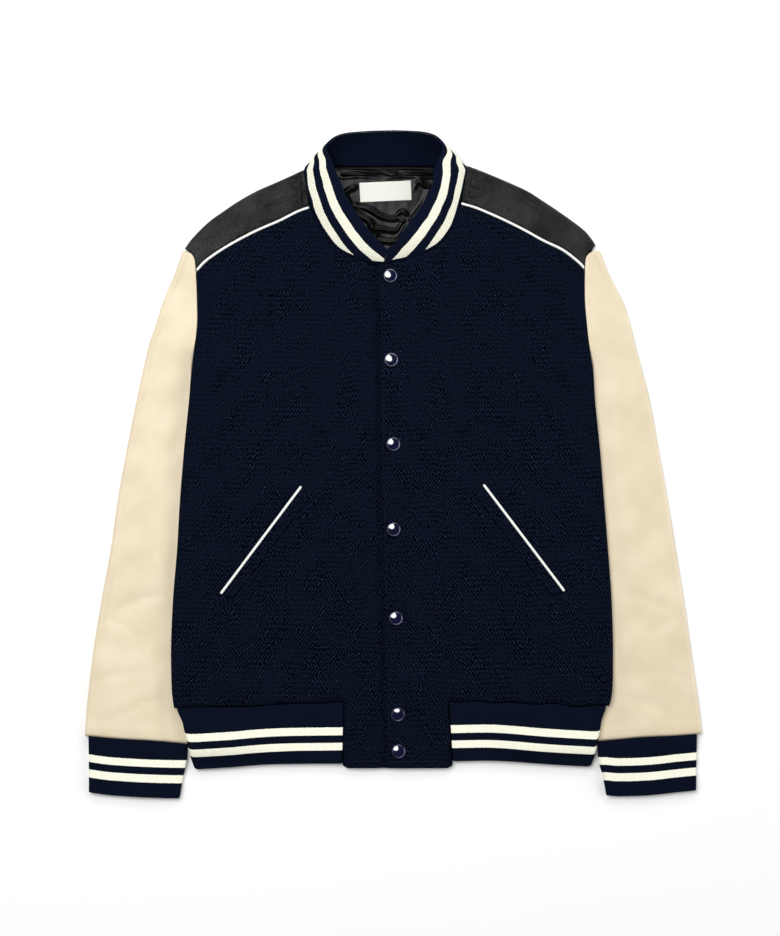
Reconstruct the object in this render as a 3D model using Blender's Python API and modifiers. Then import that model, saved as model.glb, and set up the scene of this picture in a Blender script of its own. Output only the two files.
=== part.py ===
"""A varsity jacket laid flat and face up, with its sleeves tucked beside the body.

X runs to the wearer's left, Y towards the collar and Z up from the surface that it lies on.
"""
import math

import bpy
import numpy as np

MM = 0.001
RIGHT = -1                 # the wearer's right, at -X
LEFT = 1
SIDE_NAMES = {RIGHT: "right", LEFT: "left"}

# Cloth walls
WOOL_WALL = 2.4
SLEEVE_WALL = 2.4
SHOULDER_WALL = 2.2
RIB_WALL = 3.2
LINING_WALL = 1.0
SEAM = 0.3                 # gap between two pieces at a seam

# Heights above the surface
BODY_TOP = 7.6
SLEEVE_TOP = 8.6
SLEEVE_EDGE_TOP = 8.2
TUCKED_TOP = 5.8           # the sleeve where the body lies on it
HEM_TOP = 8.8
CUFF_TOP = 9.0
LIFT = 6.4                 # rise of the body over the tucked sleeve
RAMP_START = 0.42          # shares of the way from the middle to the side edge
RAMP_END = 0.67
BLOUSE = 1.6               # swell of the wool above the hem rib
BLOUSE_Y = -256.0
BLOUSE_WIDTH = 15.0
HEM_RISE = (-225.0, -268.0)    # levels between which the fronts rise to the hem rib
HEM_DROP = (-348.0, -328.0)    # levels between which the hem rib comes up off the surface
LAP_RISE = 0.4
DIP_START = 10.0
DIP_END = 1.5
LAP_DROP = 2.5             # dip of the right front under the left one

# Armhole
ARMHOLE_TOP = 248.0
ARMHOLE_LOW = 150.0        # below this the body folds over the sleeve
FOLD_DONE = 112.0
BUTT_ANGLE = math.radians(12)
FOLD_ANGLE = math.radians(73)
SLEEVE_FOLD_ANGLE = math.radians(66)
FOLD_STEPS = (0.5, 0.89, 1.0)    # shares of a fold's turn

# Centre front
UNDERLAP_X = 16.0
TAB_BOTTOM = -352.6
TAB_X = {RIGHT: -58.0, LEFT: 64.4}
TAB_FLARE = {RIGHT: 1.6, LEFT: 4.6}    # how much further out the tab's bottom edge ends
TAB_CORNER = 5.0
TAB_ROWS = ((1.0, 1.0), (0.93, 0.25), (0.55, 0.0))    # shares of its depth and of the corner's cut
NECK_CENTRE_Y = 232.0
HEM_CENTRE_Y = -275.0      # hem seam at the centre front

# Ribs, piping, snaps
RIB_PITCH = 2.7
RIB_DEPTH = 0.6
PIPING_RADIUS = 1.4
POCKET_PIPING_RADIUS = 1.5
WELT_START = 2.2           # past the pocket's piping
WELT_WIDTH = 15.0
WELT_WALL = 1.4
SNAP_RADIUS = 8.0
SNAP_PROFILE = (
    (0.0, 3.4), (3.6, 3.1), (6.2, 2.3), (7.0, 1.5), (SNAP_RADIUS, 1.2), (SNAP_RADIUS, 0.0),
    (0.0, 0.0),
)
SNAP_STEPS = 12
# Lining that the neck shows, from its lower to its upper corner, the hanger strip and the label
LINING_EDGE = {
    RIGHT: ((-58.0, 240.0), (-80.0, 280.0), (-90.0, 315.0), (-92.0, 344.5)),
    LEFT: ((46.0, 240.0), (62.0, 280.0), (72.0, 315.0), (74.0, 344.5)),
}
HANGER_ENDS = (-62.0, 46.0)
HANGER_LEVELS = (337.6, 343.4)
HANGER_BOW = 1.6
STRIP_WALL = 1.0           # hanger strip and label
LABEL_SIZE = (61.5, 23.2)
LABEL_CENTRE = (-9.2, 317.3)
LABEL_TILT = math.radians(2.5)

# Side edge of the body: y, outward reach on the right, on the left
BODY_EDGE = (
    (-281.3, 254.6, 250.0), (-261.6, 256.9, 253.5), (-215.2, 258.1, 254.6),
    (-157.2, 255.8, 252.9), (-99.2, 251.1, 248.8), (-41.2, 247.7, 244.2),
    (16.8, 243.0, 239.5), (74.8, 237.2, 233.7), (103.8, 234.9, 232.0),
    (132.8, 231.4, 227.9), (161.8, 227.9, 224.5), (190.8, 227.9, 222.1),
    (224.5, 229.3, 222.1), (241.9, 232.2, 224.1), (250.2, 242.6, 234.6),
)
# Outer fold of the sleeve: y, reach on the right, on the left
SLEEVE_EDGE = (
    (-313.8, 359.0, 357.9), (-273.2, 355.5, 353.2), (-215.2, 348.6, 345.1),
    (-157.2, 339.3, 337.0), (-99.2, 328.9, 327.7), (-41.2, 320.7, 318.4),
    (16.8, 310.3, 308.0), (74.8, 298.7, 297.5), (132.8, 285.9, 282.5),
    (161.8, 276.7, 275.5), (190.8, 267.4, 266.2), (220.0, 255.2, 251.1),
    (248.0, 245.3, 240.0),
)
SLEEVE_LOW_Y = -318.6        # lowest row of a sleeve, which slants to the cuff seam
SLEEVE_STOPS = (2.0, 11.0, 24.0)    # places across a sleeve, out from the body's edge
CUFF_MIDDLE = 300.0          # reach at the middle of a cuff
# Inner fold of the sleeve under the body: y, reach on the right, on the left
TUCK = (
    (-325.0, 238.4, 236.1), (-300.0, 229.0, 226.0), (-273.0, 220.0, 216.0),
    (-157.0, 199.0, 196.0), (10.0, 190.0, 187.0), (60.0, 206.0, 202.0),
    (95.0, 229.0, 225.0), (110.0, 234.8, 231.9),
)
# Side edge of the hem rib: y, reach on the right, on the left
HEM_EDGE = (
    (-352.0, 224.0, 227.5), (-339.3, 231.4, 232.6), (-325.4, 237.2, 236.1),
    (-311.5, 241.9, 239.5), (-296.4, 245.3, 241.9), (-284.8, 251.1, 246.5),
)
HEM_SIDE_Y = -283.0          # where the wool's side edge passes to the hem rib's
HEM_LOW_Y = -350.0
HEM_DEPTH = 68.0
# Seam between wool and hem rib, and the rib's bottom edge: x, y
HEM_SEAM = (
    (-258.0, -282.5), (-200.0, -281.0), (-130.0, -279.0), (-58.0, -275.5),
    (64.4, -275.5), (130.0, -277.0), (200.0, -279.5), (254.0, -280.5),
)
HEM_BOTTOM = (
    (-228.0, -354.4), (-190.0, -352.1), (-143.0, -348.5), (-58.0, -347.4),
    (64.4, -345.0), (123.5, -344.5), (181.5, -348.6), (232.0, -351.5),
)
# Seam between sleeve and cuff, and the cuff's bottom edge: reach, y right, y left
CUFF_SEAM = (
    (236.1, -325.4, -322.0), (262.0, -322.8, -319.6), (285.0, -320.5, -317.2),
    (320.0, -318.4, -315.4), (359.0, -315.0, -312.6),
)
CUFF_BOTTOM = (
    (247.0, -388.0, -384.5), (262.7, -387.9, -385.7), (297.5, -386.6, -384.5),
    (330.0, -384.4, -381.0), (354.4, -381.0, -378.7),
)
# Side edges of a cuff: y, inner reach right and left, outer reach right and left
CUFF_EDGE = (
    (-388.0, 248.8, 247.7, 354.4, 352.0), (-360.0, 244.2, 243.0, 354.4, 352.2),
    (-339.0, 239.5, 237.2, 354.6, 352.6), (-312.0, 238.8, 236.6, 355.0, 353.2),
)
# Line of the wearer's-left front's edge: y, x
PLACKET_EDGE = (
    (TAB_BOTTOM, -11.0), (-203.6, -13.3), (-41.2, -16.8), (219.8, -20.3), (240.0, -20.6),
)

# Plan curves from the neck outwards
NECK = {
    RIGHT: (
        (-12.2, 232.2), (-26.1, 233.9), (-42.3, 238.0), (-53.9, 242.2), (-72.0, 255.4),
        (-84.4, 273.6), (-92.5, 288.0), (-98.0, 299.0),
    ),
    LEFT: (
        (-12.0, 232.2), (-0.7, 233.9), (12.5, 237.2), (29.1, 243.0), (45.7, 250.4),
        (60.6, 262.0), (70.5, 278.6), (77.1, 300.2),
    ),
}
PIPING = {
    RIGHT: (
        (-98.0, 298.6), (-111.9, 293.6), (-131.7, 283.6), (-158.3, 272.0), (-181.0, 260.4),
        (-200.7, 248.8), (-218.1, 236.6), (-228.6, 225.6),
    ),
    LEFT: (
        (78.6, 303.2), (91.6, 299.5), (103.2, 295.2), (129.3, 283.6), (152.5, 272.0),
        (173.4, 260.4), (197.2, 248.8), (215.2, 234.9), (221.4, 228.0),
    ),
}
SHOULDER_FOLD = {
    RIGHT: (
        (-105.4, 342.0), (-131.7, 330.0), (-158.3, 318.4), (-179.2, 306.8), (-196.6, 295.2),
        (-212.9, 283.6), (-225.6, 272.0), (-236.1, 260.4), (-242.6, 251.0),
    ),
    LEFT: (
        (87.6, 346.4), (101.5, 341.6), (129.3, 330.0), (154.9, 318.4), (173.4, 306.8),
        (190.8, 295.2), (207.1, 283.6), (222.1, 272.0), (231.6, 260.4), (234.9, 254.6),
    ),
}
BACK_PIPING = {
    RIGHT: ((-66.0, 344.0), (-110.0, 313.0), (-160.0, 279.0), (-205.0, 247.0), (-228.6, 226.0)),
    LEFT: ((48.0, 344.0), (98.0, 313.0), (150.0, 279.0), (196.0, 248.0), (221.4, 229.0)),
}
# Middle of the leather's edge at the collar and at the armhole
SHOULDER_NECK = {RIGHT: (-101.6, 318.0), LEFT: (83.6, 322.0)}
SHOULDER_ARM_Y = {RIGHT: 241.0, LEFT: 243.5}
ARM_SEAM_Y = 241.9
BACK_NECK_Y = 345.3

# Collar stations from the right front end round the back to the left front end:
# seam x, y, z, folded edge x, y, z
COLLAR = (
    (-12.4, 232.6, 7.8, -7.7, 248.8, 17.0),
    (-26.1, 234.3, 7.8, -13.6, 255.0, 19.5),
    (-43.5, 239.0, 7.8, -20.6, 262.0, 22.0),
    (-66.5, 251.2, 7.8, -33.9, 277.0, 25.5),
    (-83.5, 273.3, 7.8, -45.5, 293.6, 28.5),
    (-91.6, 288.5, 7.8, -53.9, 306.8, 31.0),
    (-99.2, 309.5, 7.8, -62.1, 326.7, 33.5),
    (-102.2, 328.0, 7.6, -67.0, 336.6, 35.0),
    (-104.0, 341.5, 6.8, -72.6, 350.5, 35.6),
    (-99.5, 348.0, 4.6, -78.3, 364.8, 35.0),
    (-87.0, 349.2, 2.4, -71.3, 375.3, 33.5),
    (-67.0, 348.6, 1.2, -56.3, 382.2, 31.5),
    (-32.0, 348.4, 1.0, -27.3, 385.1, 30.0),
    (-8.0, 348.4, 1.0, -8.0, 385.6, 29.8),
    (18.0, 348.4, 1.0, 7.5, 385.7, 30.0),
    (52.0, 348.6, 1.2, 36.0, 383.6, 31.5),
    (70.0, 349.2, 2.4, 51.5, 377.0, 33.5),
    (81.5, 348.5, 4.6, 58.0, 364.0, 35.0),
    (85.6, 342.5, 6.8, 52.5, 350.5, 35.6),
    (83.2, 328.0, 7.6, 47.3, 338.3, 35.0),
    (79.6, 311.5, 7.8, 45.7, 324.0, 33.5),
    (72.6, 286.0, 7.8, 35.7, 303.0, 31.0),
    (66.5, 272.0, 7.8, 25.8, 288.6, 28.5),
    (53.0, 255.8, 7.8, 12.5, 270.5, 25.5),
    (30.5, 243.9, 7.8, 5.2, 260.6, 22.0),
    (12.5, 237.8, 7.8, 1.0, 255.0, 19.5),
    (-11.8, 232.9, 7.8, -7.2, 249.4, 17.0),
)
COLLAR_BULGE = 2.6

# Pocket openings: top x, y, bottom x, y
POCKETS = {RIGHT: (-107.0, -25.3, -200.1, -149.8), LEFT: (104.4, -23.2, 197.8, -146.7)}
SNAPS = (
    (-3.7, 219.4), (-2.6, 121.8), (-0.1, 23.9), (0.3, -75.2), (3.0, -178.4),
    (5.2, -290.0), (6.0, -332.7),
)
# Soft troughs in the fronts: x, y at both ends, half-width, depth
FRONT_CREASES = (
    (-197.0, -196.0, -170.0, -266.0, 9.0, 1.0), (184.0, -204.0, 158.0, -262.0, 9.0, 1.0),
    (-150.0, -252.0, -143.0, -276.0, 5.0, 0.9), (-110.0, -256.0, -106.0, -276.0, 6.0, 0.7),
    (110.0, -254.0, 106.0, -276.0, 6.0, 0.8), (215.0, -240.0, 206.0, -276.0, 7.0, 0.8),
    (-226.0, -236.0, -214.0, -278.0, 7.0, 0.8), (-196.0, 205.0, -150.0, 120.0, 16.0, 0.7),
    (190.0, 205.0, 150.0, 126.0, 16.0, 0.7),
)
# Soft troughs in a sleeve: reach, y at both ends, half-width, depth
SLEEVE_CREASES = (
    (262.0, 156.0, 300.0, -18.0, 16.0, 1.0), (262.0, -150.0, 322.0, -170.0, 9.0, 0.9),
    (300.0, -196.0, 345.0, -176.0, 8.0, 0.7), (262.0, -268.0, 330.0, -300.0, 8.0, 0.8),
    (290.0, -240.0, 350.0, -256.0, 8.0, 0.6),
)

# Rows up the body and the sleeves
BODY_ROWS = (-262.0, -238.0, -205.0, -165.0, -115.0, -60.0, -10.0, 35.0, 65.0, 90.0, 112.0,
             131.0, 150.0, 175.0, 200.0)
SLEEVE_ROWS = (-292.0, -256.0, -218.0, -188.0, -160.0, -125.0, -70.0, -15.0, 30.0, 65.0,
               90.0, 112.0, 131.0, 150.0, 175.0, 200.0, 222.0, 238.0, ARMHOLE_TOP)


def clear_scene():
    for old in list(bpy.data.objects):
        bpy.data.objects.remove(old, do_unlink=True)


def material(name, color, roughness, metallic=0.0):
    found = bpy.data.materials.get(name)
    if found:
        return found
    made = bpy.data.materials.new(name)
    made.use_nodes = True
    surface = made.node_tree.nodes["Principled BSDF"]
    surface.inputs["Base Color"].default_value = (*color, 1.0)
    surface.inputs["Roughness"].default_value = roughness
    surface.inputs["Metallic"].default_value = metallic
    return made


# Curves and grids in plan

def ease(start, end, value):
    """0 before start, 1 past end, and a smooth rise between."""
    t = np.clip((np.asarray(value, float) - start) / (end - start), 0, 1)
    return t * t * (3 - 2 * t)


def reach(table, side, y):
    """Outward distance from X = 0 that a side table gives at y."""
    rows = np.array(table)
    return np.interp(y, rows[:, 0], rows[:, 1 if side == RIGHT else 2])


def graph(table, value, column=1):
    rows = np.array(table)
    return np.interp(value, rows[:, 0], rows[:, column])


def curved(points, per_span=12):
    """Dense points of the smooth curve through the given ones."""
    pts = np.array(points, float)
    padded = np.vstack([2 * pts[0] - pts[1], pts, 2 * pts[-1] - pts[-2]])
    dense = []
    for k in range(1, len(padded) - 2):
        a, b, c, d = padded[k - 1:k + 3]
        for t in np.arange(per_span) / per_span:
            dense.append(0.5 * (2 * b + (c - a) * t + (2 * a - 5 * b + 4 * c - d) * t ** 2
                                + (3 * b - a - 3 * c + d) * t ** 3))
    dense.append(pts[-1])
    return np.array(dense)


def fractions(points):
    steps = np.linalg.norm(np.diff(points, axis=0), axis=1)
    return np.concatenate(([0.0], np.cumsum(steps))) / steps.sum()


def trace(points, count):
    """Evenly spaced points along the smooth curve through the given ones."""
    dense = curved(points)
    at = fractions(dense)
    wanted = np.linspace(0, 1, count)
    return np.column_stack([np.interp(wanted, at, axis) for axis in dense.T])


def shifted(points, distance):
    """The line moved to the left of its own direction by a distance."""
    along = np.gradient(points, axis=0)
    along /= np.linalg.norm(along, axis=1)[:, None]
    return points + distance * np.column_stack([-along[:, 1], along[:, 0]])


def fill(bottom, top, left, right):
    """Grid of plan points between four edges, rows from bottom to top."""
    u = ((fractions(bottom) + fractions(top)) / 2)[None, :, None]
    v = ((fractions(left) + fractions(right)) / 2)[:, None, None]
    between = (1 - v) * bottom[None] + v * top[None]
    between = between + (1 - u) * left[:, None] + u * right[:, None]
    corners = (1 - u) * (1 - v) * bottom[0] + u * (1 - v) * bottom[-1]
    corners = corners + (1 - u) * v * top[0] + u * v * top[-1]
    return between - corners


# Heights

def tucked_reach(side, y):
    """Reach at which the sleeve's inner fold lies, or its seam beside the body."""
    beside = reach(BODY_EDGE, side, y) + SEAM + 0.1
    return np.where(np.asarray(y) > TUCK[-1][0], beside, reach(TUCK, side, y))


def side_reach(side, y):
    """Reach of the wool's side edge, or of the hem rib's below the seam."""
    return np.where(np.asarray(y) < HEM_SIDE_Y, reach(HEM_EDGE, side, y), reach(BODY_EDGE, side, y))


def lift(x, y):
    """Rise of the body where it lies on the sleeves."""
    edge = np.where(x < 0, side_reach(RIGHT, y), side_reach(LEFT, y))
    over = ease(RAMP_START, RAMP_END, np.abs(x) / edge)
    return LIFT * over * ease(ARMHOLE_LOW, FOLD_DONE, y) * ease(*HEM_DROP, y)


def creases(table, x, y):
    """Depth of the soft troughs that a table lists."""
    depth = np.zeros(np.broadcast(x, y).shape)
    for x0, y0, x1, y1, half_width, trough in table:
        dx, dy = x1 - x0, y1 - y0
        along = np.clip(((x - x0) * dx + (y - y0) * dy) / (dx * dx + dy * dy), 0, 1)
        away = np.hypot(x - x0 - along * dx, y - y0 - along * dy)
        depth = depth + trough * np.exp(-(away / half_width) ** 2)
    return depth


def front_height(x, y):
    """Outer face of the fronts, without the lap."""
    rise = (HEM_TOP - BODY_TOP) * ease(*HEM_RISE, y)
    swell = BLOUSE * np.exp(-((y - BLOUSE_Y) / BLOUSE_WIDTH) ** 2) * ease(45, 90, np.abs(x))
    return BODY_TOP + lift(x, y) + rise + swell - creases(FRONT_CREASES, x, y)


def left_front_height(x, y):
    lap = ease(40, 15, x) * LAP_RISE
    return front_height(x, y) + lap


def right_front_height(x, y):
    under = ease(-DIP_START, -DIP_END, x - graph(PLACKET_EDGE, y))
    return front_height(x, y) - LAP_DROP * under


FRONT_HEIGHTS = {RIGHT: right_front_height, LEFT: left_front_height}


def shelf(height, x, y):
    return np.dstack([x, y, height])


# Solids

def finish(name, vertices, faces, look, collection):
    mesh = bpy.data.meshes.new(name)
    mesh.from_pydata([tuple(v) for v in np.asarray(vertices) * MM], [], faces)
    mesh.validate()
    obj = bpy.data.objects.new(name, mesh)
    collection.objects.link(obj)
    mesh.materials.append(look)
    mesh.shade_smooth()
    mesh.set_sharp_from_angle(angle=math.radians(50))
    return obj


def shell(name, grid, wall, look, collection, outward=1, kept=None):
    """The open surface of a grid's points, thickened inwards; outward -1 turns it over."""
    rows, columns = grid.shape[:2]
    points = grid.reshape(-1, 3)
    used, faces = {}, []
    for i in range(rows - 1):
        for j in range(columns - 1):
            if kept is not None and not kept(i, j):
                continue
            ring = [i * columns + j, i * columns + j + 1,
                    (i + 1) * columns + j + 1, (i + 1) * columns + j]
            ring = ring if outward > 0 else ring[::-1]
            faces.append([used.setdefault(k, len(used)) for k in ring])
    obj = finish(name, points[list(used)], faces, look, collection)
    solid = obj.modifiers.new("Wall", "SOLIDIFY")
    solid.thickness = wall * MM
    solid.offset = -1.0
    return obj


def normals(grid, closed=False):
    """Unit normals of a grid whose columns may run round in a ring."""
    ring = np.concatenate([grid[:, -1:], grid, grid[:, :1]], axis=1) if closed else grid
    steps = np.diff(ring, axis=1)
    steps /= np.linalg.norm(steps, axis=2)[:, :, None]
    if not closed:
        steps = np.concatenate([steps[:, :1], steps, steps[:, -1:]], axis=1)
    across = steps[:, :-1] + steps[:, 1:]
    up = np.gradient(grid, axis=0)
    found = np.cross(across, up)
    return found / np.linalg.norm(found, axis=2)[:, :, None]


def fan(outer, inner, counts):
    """Triangles between a fine line and a coarse one; counts gives the fine index of each."""
    faces = []
    for k in range(len(inner) - 1):
        first, last = counts[k], counts[k + 1]
        middle = (first + last) // 2
        for i in range(first, last):
            faces.append((outer[i], outer[i + 1], inner[k] if i < middle else inner[k + 1]))
        faces.append((outer[middle], inner[k + 1], inner[k]))
    return faces


def ribbed(name, grid, ribs, coarse, wall, look, collection, closed=False):
    """A wall whose outer face is raised in ribs along its columns over a plain inside.

    ribs marks the columns that are troughs, coarse lists the columns that the inside keeps.
    """
    facing = normals(grid, closed)
    outer = grid - RIB_DEPTH * facing * np.asarray(ribs, float)[None, :, None]
    inner = (grid - wall * facing)[:, coarse]
    rows, columns = outer.shape[:2]
    kept = inner.shape[1]
    start = rows * columns
    points = np.vstack([outer.reshape(-1, 3), inner.reshape(-1, 3)])
    faces = []
    for i in range(rows - 1):
        for j in range(columns if closed else columns - 1):
            after = (j + 1) % columns
            faces.append((i * columns + j, i * columns + after,
                          (i + 1) * columns + after, (i + 1) * columns + j))
        for k in range(kept if closed else kept - 1):
            after = (k + 1) % kept
            faces.append((start + i * kept + after, start + i * kept + k,
                          start + (i + 1) * kept + k, start + (i + 1) * kept + after))
    counts = list(coarse) + ([columns] if closed else [])
    for row, turn in ((0, 1), (rows - 1, -1)):
        fine = [row * columns + j % columns for j in range(columns + (1 if closed else 0))]
        few = [start + row * kept + k % kept for k in range(len(counts))]
        for triangle in fan(fine, few, counts):
            faces.append(triangle[::-1] if turn > 0 else triangle)
    if not closed:
        for i in range(rows - 1):
            a, b = i * columns, start + i * kept
            faces.append((a + columns, b + kept, b, a))
            a, b = a + columns - 1, b + kept - 1
            faces.append((a, b, b + kept, a + columns))
    return finish(name, points, faces, look, collection)


def tube(name, points, radius, look, collection):
    """Cord along a line of points, with filled ends."""
    curve = bpy.data.curves.new(name, "CURVE")
    curve.dimensions = "3D"
    curve.bevel_depth = radius * MM
    curve.bevel_resolution = 1
    curve.use_fill_caps = True
    spline = curve.splines.new("POLY")
    spline.points.add(len(points) - 1)
    for place, point in zip(spline.points, points):
        place.co = (*(np.asarray(point) * MM), 1.0)
    obj = bpy.data.objects.new(name, curve)
    collection.objects.link(obj)
    curve.materials.append(look)
    return obj


# Pieces

def side_angle(y):
    """How far round its side fold the body's wall runs: a butt seam above, a fold below."""
    return BUTT_ANGLE + (FOLD_ANGLE - BUTT_ANGLE) * ease(ARMHOLE_LOW, FOLD_DONE, y)


def side_arc(side, y, edge, centre_z, radius, down):
    """Points from the flat wall round the side fold; down -1 gives the wall underneath."""
    angle = side_angle(y)
    centre = edge - radius * math.sin(angle)
    points = []
    for share in FOLD_STEPS:
        turn = angle * share
        points.append((side * (centre + radius * math.sin(turn)), y,
                       centre_z + down * radius * math.cos(turn)))
    return points


def with_side_folds(grid, sides, down):
    """Adds the arc of the side fold to a panel's outer column."""
    radius = BODY_TOP / 2
    for side, column in sides:
        strip = []
        for row in range(grid.shape[0]):
            x, y, z = grid[row, column]
            angle = float(side_angle(y))
            edge = abs(x) + radius * math.sin(angle)
            strip.append(side_arc(side, y, edge, z - down * radius, radius, down))
        strip = np.array(strip)
        if column == 0:
            grid = np.concatenate([strip[:, ::-1], grid], axis=1)
        else:
            grid = np.concatenate([grid, strip], axis=1)
    return grid


def body_side(side, low, high):
    """Outer edge of a body panel's flat part, from the hem to the shoulder seam."""
    levels = np.array([low, *BODY_ROWS, high])
    radius = BODY_TOP / 2
    out = reach(BODY_EDGE, side, levels) - radius * np.sin([side_angle(y) for y in levels])
    return np.column_stack([side * out, levels])


def neck_level(side, x):
    """Y of the neck edge near the centre front."""
    near = sorted(NECK[side][:4])
    return float(np.interp(x, [p[0] for p in near], [p[1] for p in near])) - SEAM


def with_underlap(plan):
    """Adds the columns of the right front that lie under the left one."""
    share = np.linspace(0, 1, len(plan))
    y = plan[:, 0, 1] - share * (plan[-1, 0, 1] - neck_level(RIGHT, 0.0))
    dipped = np.column_stack([graph(PLACKET_EDGE, y) - DIP_END, y])
    edge = np.column_stack([np.full(len(y), UNDERLAP_X), y])
    return np.concatenate([edge[:, None], dipped[:, None], plan], axis=1)


def front(side, look, collection):
    """A front with the tab that it runs down to between the ends of the hem rib."""
    height = FRONT_HEIGHTS[side]
    room = PIPING_RADIUS + SEAM + 0.1
    piping_edge = shifted(trace(PIPING[side], 7), side * -room)
    neck_edge = shifted(trace(NECK[side], 7), side * -SEAM)
    neck_edge = neck_edge[neck_edge[:, 0] * side < piping_edge[0, 0] * side - 2]
    start = DIP_START if side == RIGHT else 0.0
    end_x = graph(PLACKET_EDGE, NECK_CENTRE_Y) - start
    neck_edge = neck_edge[neck_edge[:, 0] * side > end_x * side + 4]
    top = np.vstack([[end_x, neck_level(side, end_x)], neck_edge, piping_edge])
    outer = body_side(side, graph(HEM_SEAM, side * 252) + SEAM, piping_edge[-1, 1] - 1.0)
    top[-1] = outer[-1]
    centre_y = HEM_CENTRE_Y + fractions(outer) * (top[0, 1] - HEM_CENTRE_Y)
    centre = np.column_stack([graph(PLACKET_EDGE, centre_y) - start, centre_y])
    centre[-1] = top[0]
    share = np.abs(top[:, 0] - top[0, 0]) / abs(top[-1, 0] - top[0, 0])
    bottom_x = centre[0, 0] + share * (outer[0, 0] - centre[0, 0])
    corner = int(np.argmin(np.abs(bottom_x - TAB_X[side])))
    bottom_x[corner] = TAB_X[side]
    bottom = np.column_stack([bottom_x, graph(HEM_SEAM, bottom_x) + SEAM / 2])
    bottom[0] = centre[0]
    bottom[-1] = outer[0]
    plan = fill(bottom, top, centre, outer)
    if side == RIGHT:
        plan = with_underlap(plan)
        corner += 2
    tab_rows = tab_plan(side, plan[0], corner)
    plan = np.concatenate([tab_rows, plan])
    count = len(tab_rows)
    grid = shelf(height(plan[..., 0], plan[..., 1]), plan[..., 0], plan[..., 1])
    grid = with_side_folds(grid, ((side, -1),), 1)
    shell("front_" + SIDE_NAMES[side], grid, WOOL_WALL, look, collection, outward=side,
          kept=lambda i, j: i >= count or j < corner)


def tab_plan(side, top_row, corner):
    """Rows of the tab, from its bottom edge up, with a rounded corner at the rib's side."""
    rows = []
    for down, cut in TAB_ROWS:
        row = top_row.copy()
        row[:, 1] += down * (TAB_BOTTOM - top_row[:, 1])
        width = top_row[corner, 0] - top_row[0, 0]
        share = np.clip((top_row[:, 0] - top_row[0, 0]) / width, 0, 1)
        row[:, 0] += side * (TAB_FLARE[side] * down - TAB_CORNER * cut) * share ** 3
        if side == LEFT:
            edge = graph(PLACKET_EDGE, row[0, 1]) + TAB_CORNER * 0.6 * cut
            row[:, 0] += (edge - row[0, 0]) * (1 - share)
        rows.append(row)
    return np.array(rows)


def back_panel(look, collection):
    """The back, lying on the surface in the middle and on the sleeves at its sides."""
    room = PIPING_RADIUS + SEAM + 0.2
    right_line = shifted(trace(BACK_PIPING[RIGHT], 7), room)
    left_line = shifted(trace(BACK_PIPING[LEFT], 7), -room)
    neck = np.column_stack([np.linspace(right_line[0, 0] + 30, left_line[0, 0] - 30, 2),
                            np.full(2, BACK_NECK_Y)])
    right_side = body_side(RIGHT, graph(HEM_SEAM, -252) + SEAM, right_line[-1, 1] - 1.5)
    left_side = body_side(LEFT, graph(HEM_SEAM, 252) + SEAM, left_line[-1, 1] - 1.5)
    top = np.vstack([right_line[::-1], neck, left_line])
    top[0], top[-1] = right_side[-1], left_side[-1]
    share = (top[:, 0] - top[0, 0]) / (top[-1, 0] - top[0, 0])
    bottom_x = right_side[0, 0] + share * (left_side[0, 0] - right_side[0, 0])
    bottom = np.column_stack([bottom_x, graph(HEM_SEAM, bottom_x) + SEAM / 2])
    bottom[0], bottom[-1] = right_side[0], left_side[0]
    plan = fill(bottom, top, right_side, left_side)
    grid = shelf(lift(plan[..., 0], plan[..., 1]), plan[..., 0], plan[..., 1])
    grid = with_side_folds(grid, ((RIGHT, 0), (LEFT, -1)), -1)
    shell("back_panel", grid, WOOL_WALL, look, collection, outward=-1)


def shoulder(side, look, collection):
    """Leather from the front seam over the shoulder fold to the back seam."""
    count = 7
    room = PIPING_RADIUS + SEAM + 0.1
    low = shifted(trace(PIPING[side], count), side * room)
    fold = trace(SHOULDER_FOLD[side], count)
    back = shifted(trace(BACK_PIPING[side], count), side * room)
    neck_edge = trace((low[0], SHOULDER_NECK[side], fold[0]), 5)
    seam_x = side * reach(BODY_EDGE, side, ARM_SEAM_Y)
    arm_edge = trace((low[-1], (seam_x, SHOULDER_ARM_Y[side]), fold[-1]), 5)
    radius = BODY_TOP / 2
    plan = fill(low, fold, neck_edge, arm_edge)
    grid = []
    for k in range(count):
        away = fold[k] - plan[-2, k]
        away /= np.linalg.norm(away)
        centre = fold[k] - radius * away
        strip = [(*point, BODY_TOP) for point in plan[:-1, k]]
        keep = [p for p in strip if np.dot(centre - p[:2], away) > 1.0]
        while len(keep) < len(strip):
            keep.append((*((np.array(keep[-1][:2]) + centre) / 2), BODY_TOP))
        strip = keep
        for turn in np.radians((90, 45, 0, -45, -90)):
            place = centre + radius * math.cos(turn) * away
            strip.append((*place, radius + radius * math.sin(turn)))
        for share in (0.35, 0.7, 1.0):
            x, y = centre + share * (back[k] - centre)
            limit = reach(BODY_EDGE, side, y) - SEAM
            strip.append((side * min(abs(x), limit), y, 0.0))
        grid.append(strip)
    grid = np.array(grid).transpose(1, 0, 2)
    shell("shoulder_" + SIDE_NAMES[side], grid, SHOULDER_WALL, look, collection, outward=side)


def sleeve_height(side, reach_out, y):
    """Outer face of a sleeve's upper wall."""
    edge = reach(BODY_EDGE, side, np.maximum(y, BODY_EDGE[0][0]))
    low = SLEEVE_TOP - (SLEEVE_TOP - TUCKED_TOP) * ease(ARMHOLE_LOW, FOLD_DONE, y)
    low = np.where(y > ARMHOLE_LOW, BODY_TOP, np.minimum(low, BODY_TOP))
    full = low + (SLEEVE_TOP - low) * ease(edge + SLEEVE_STOPS[0], edge + SLEEVE_STOPS[2], reach_out)
    outer = reach(SLEEVE_EDGE, side, y)
    full = full - (SLEEVE_TOP - SLEEVE_EDGE_TOP) * ease(outer - 30, outer - 4, reach_out)
    open_part = ease(edge + 2, edge + 14, reach_out)
    return full - creases(SLEEVE_CREASES, reach_out, y) * open_part


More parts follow.
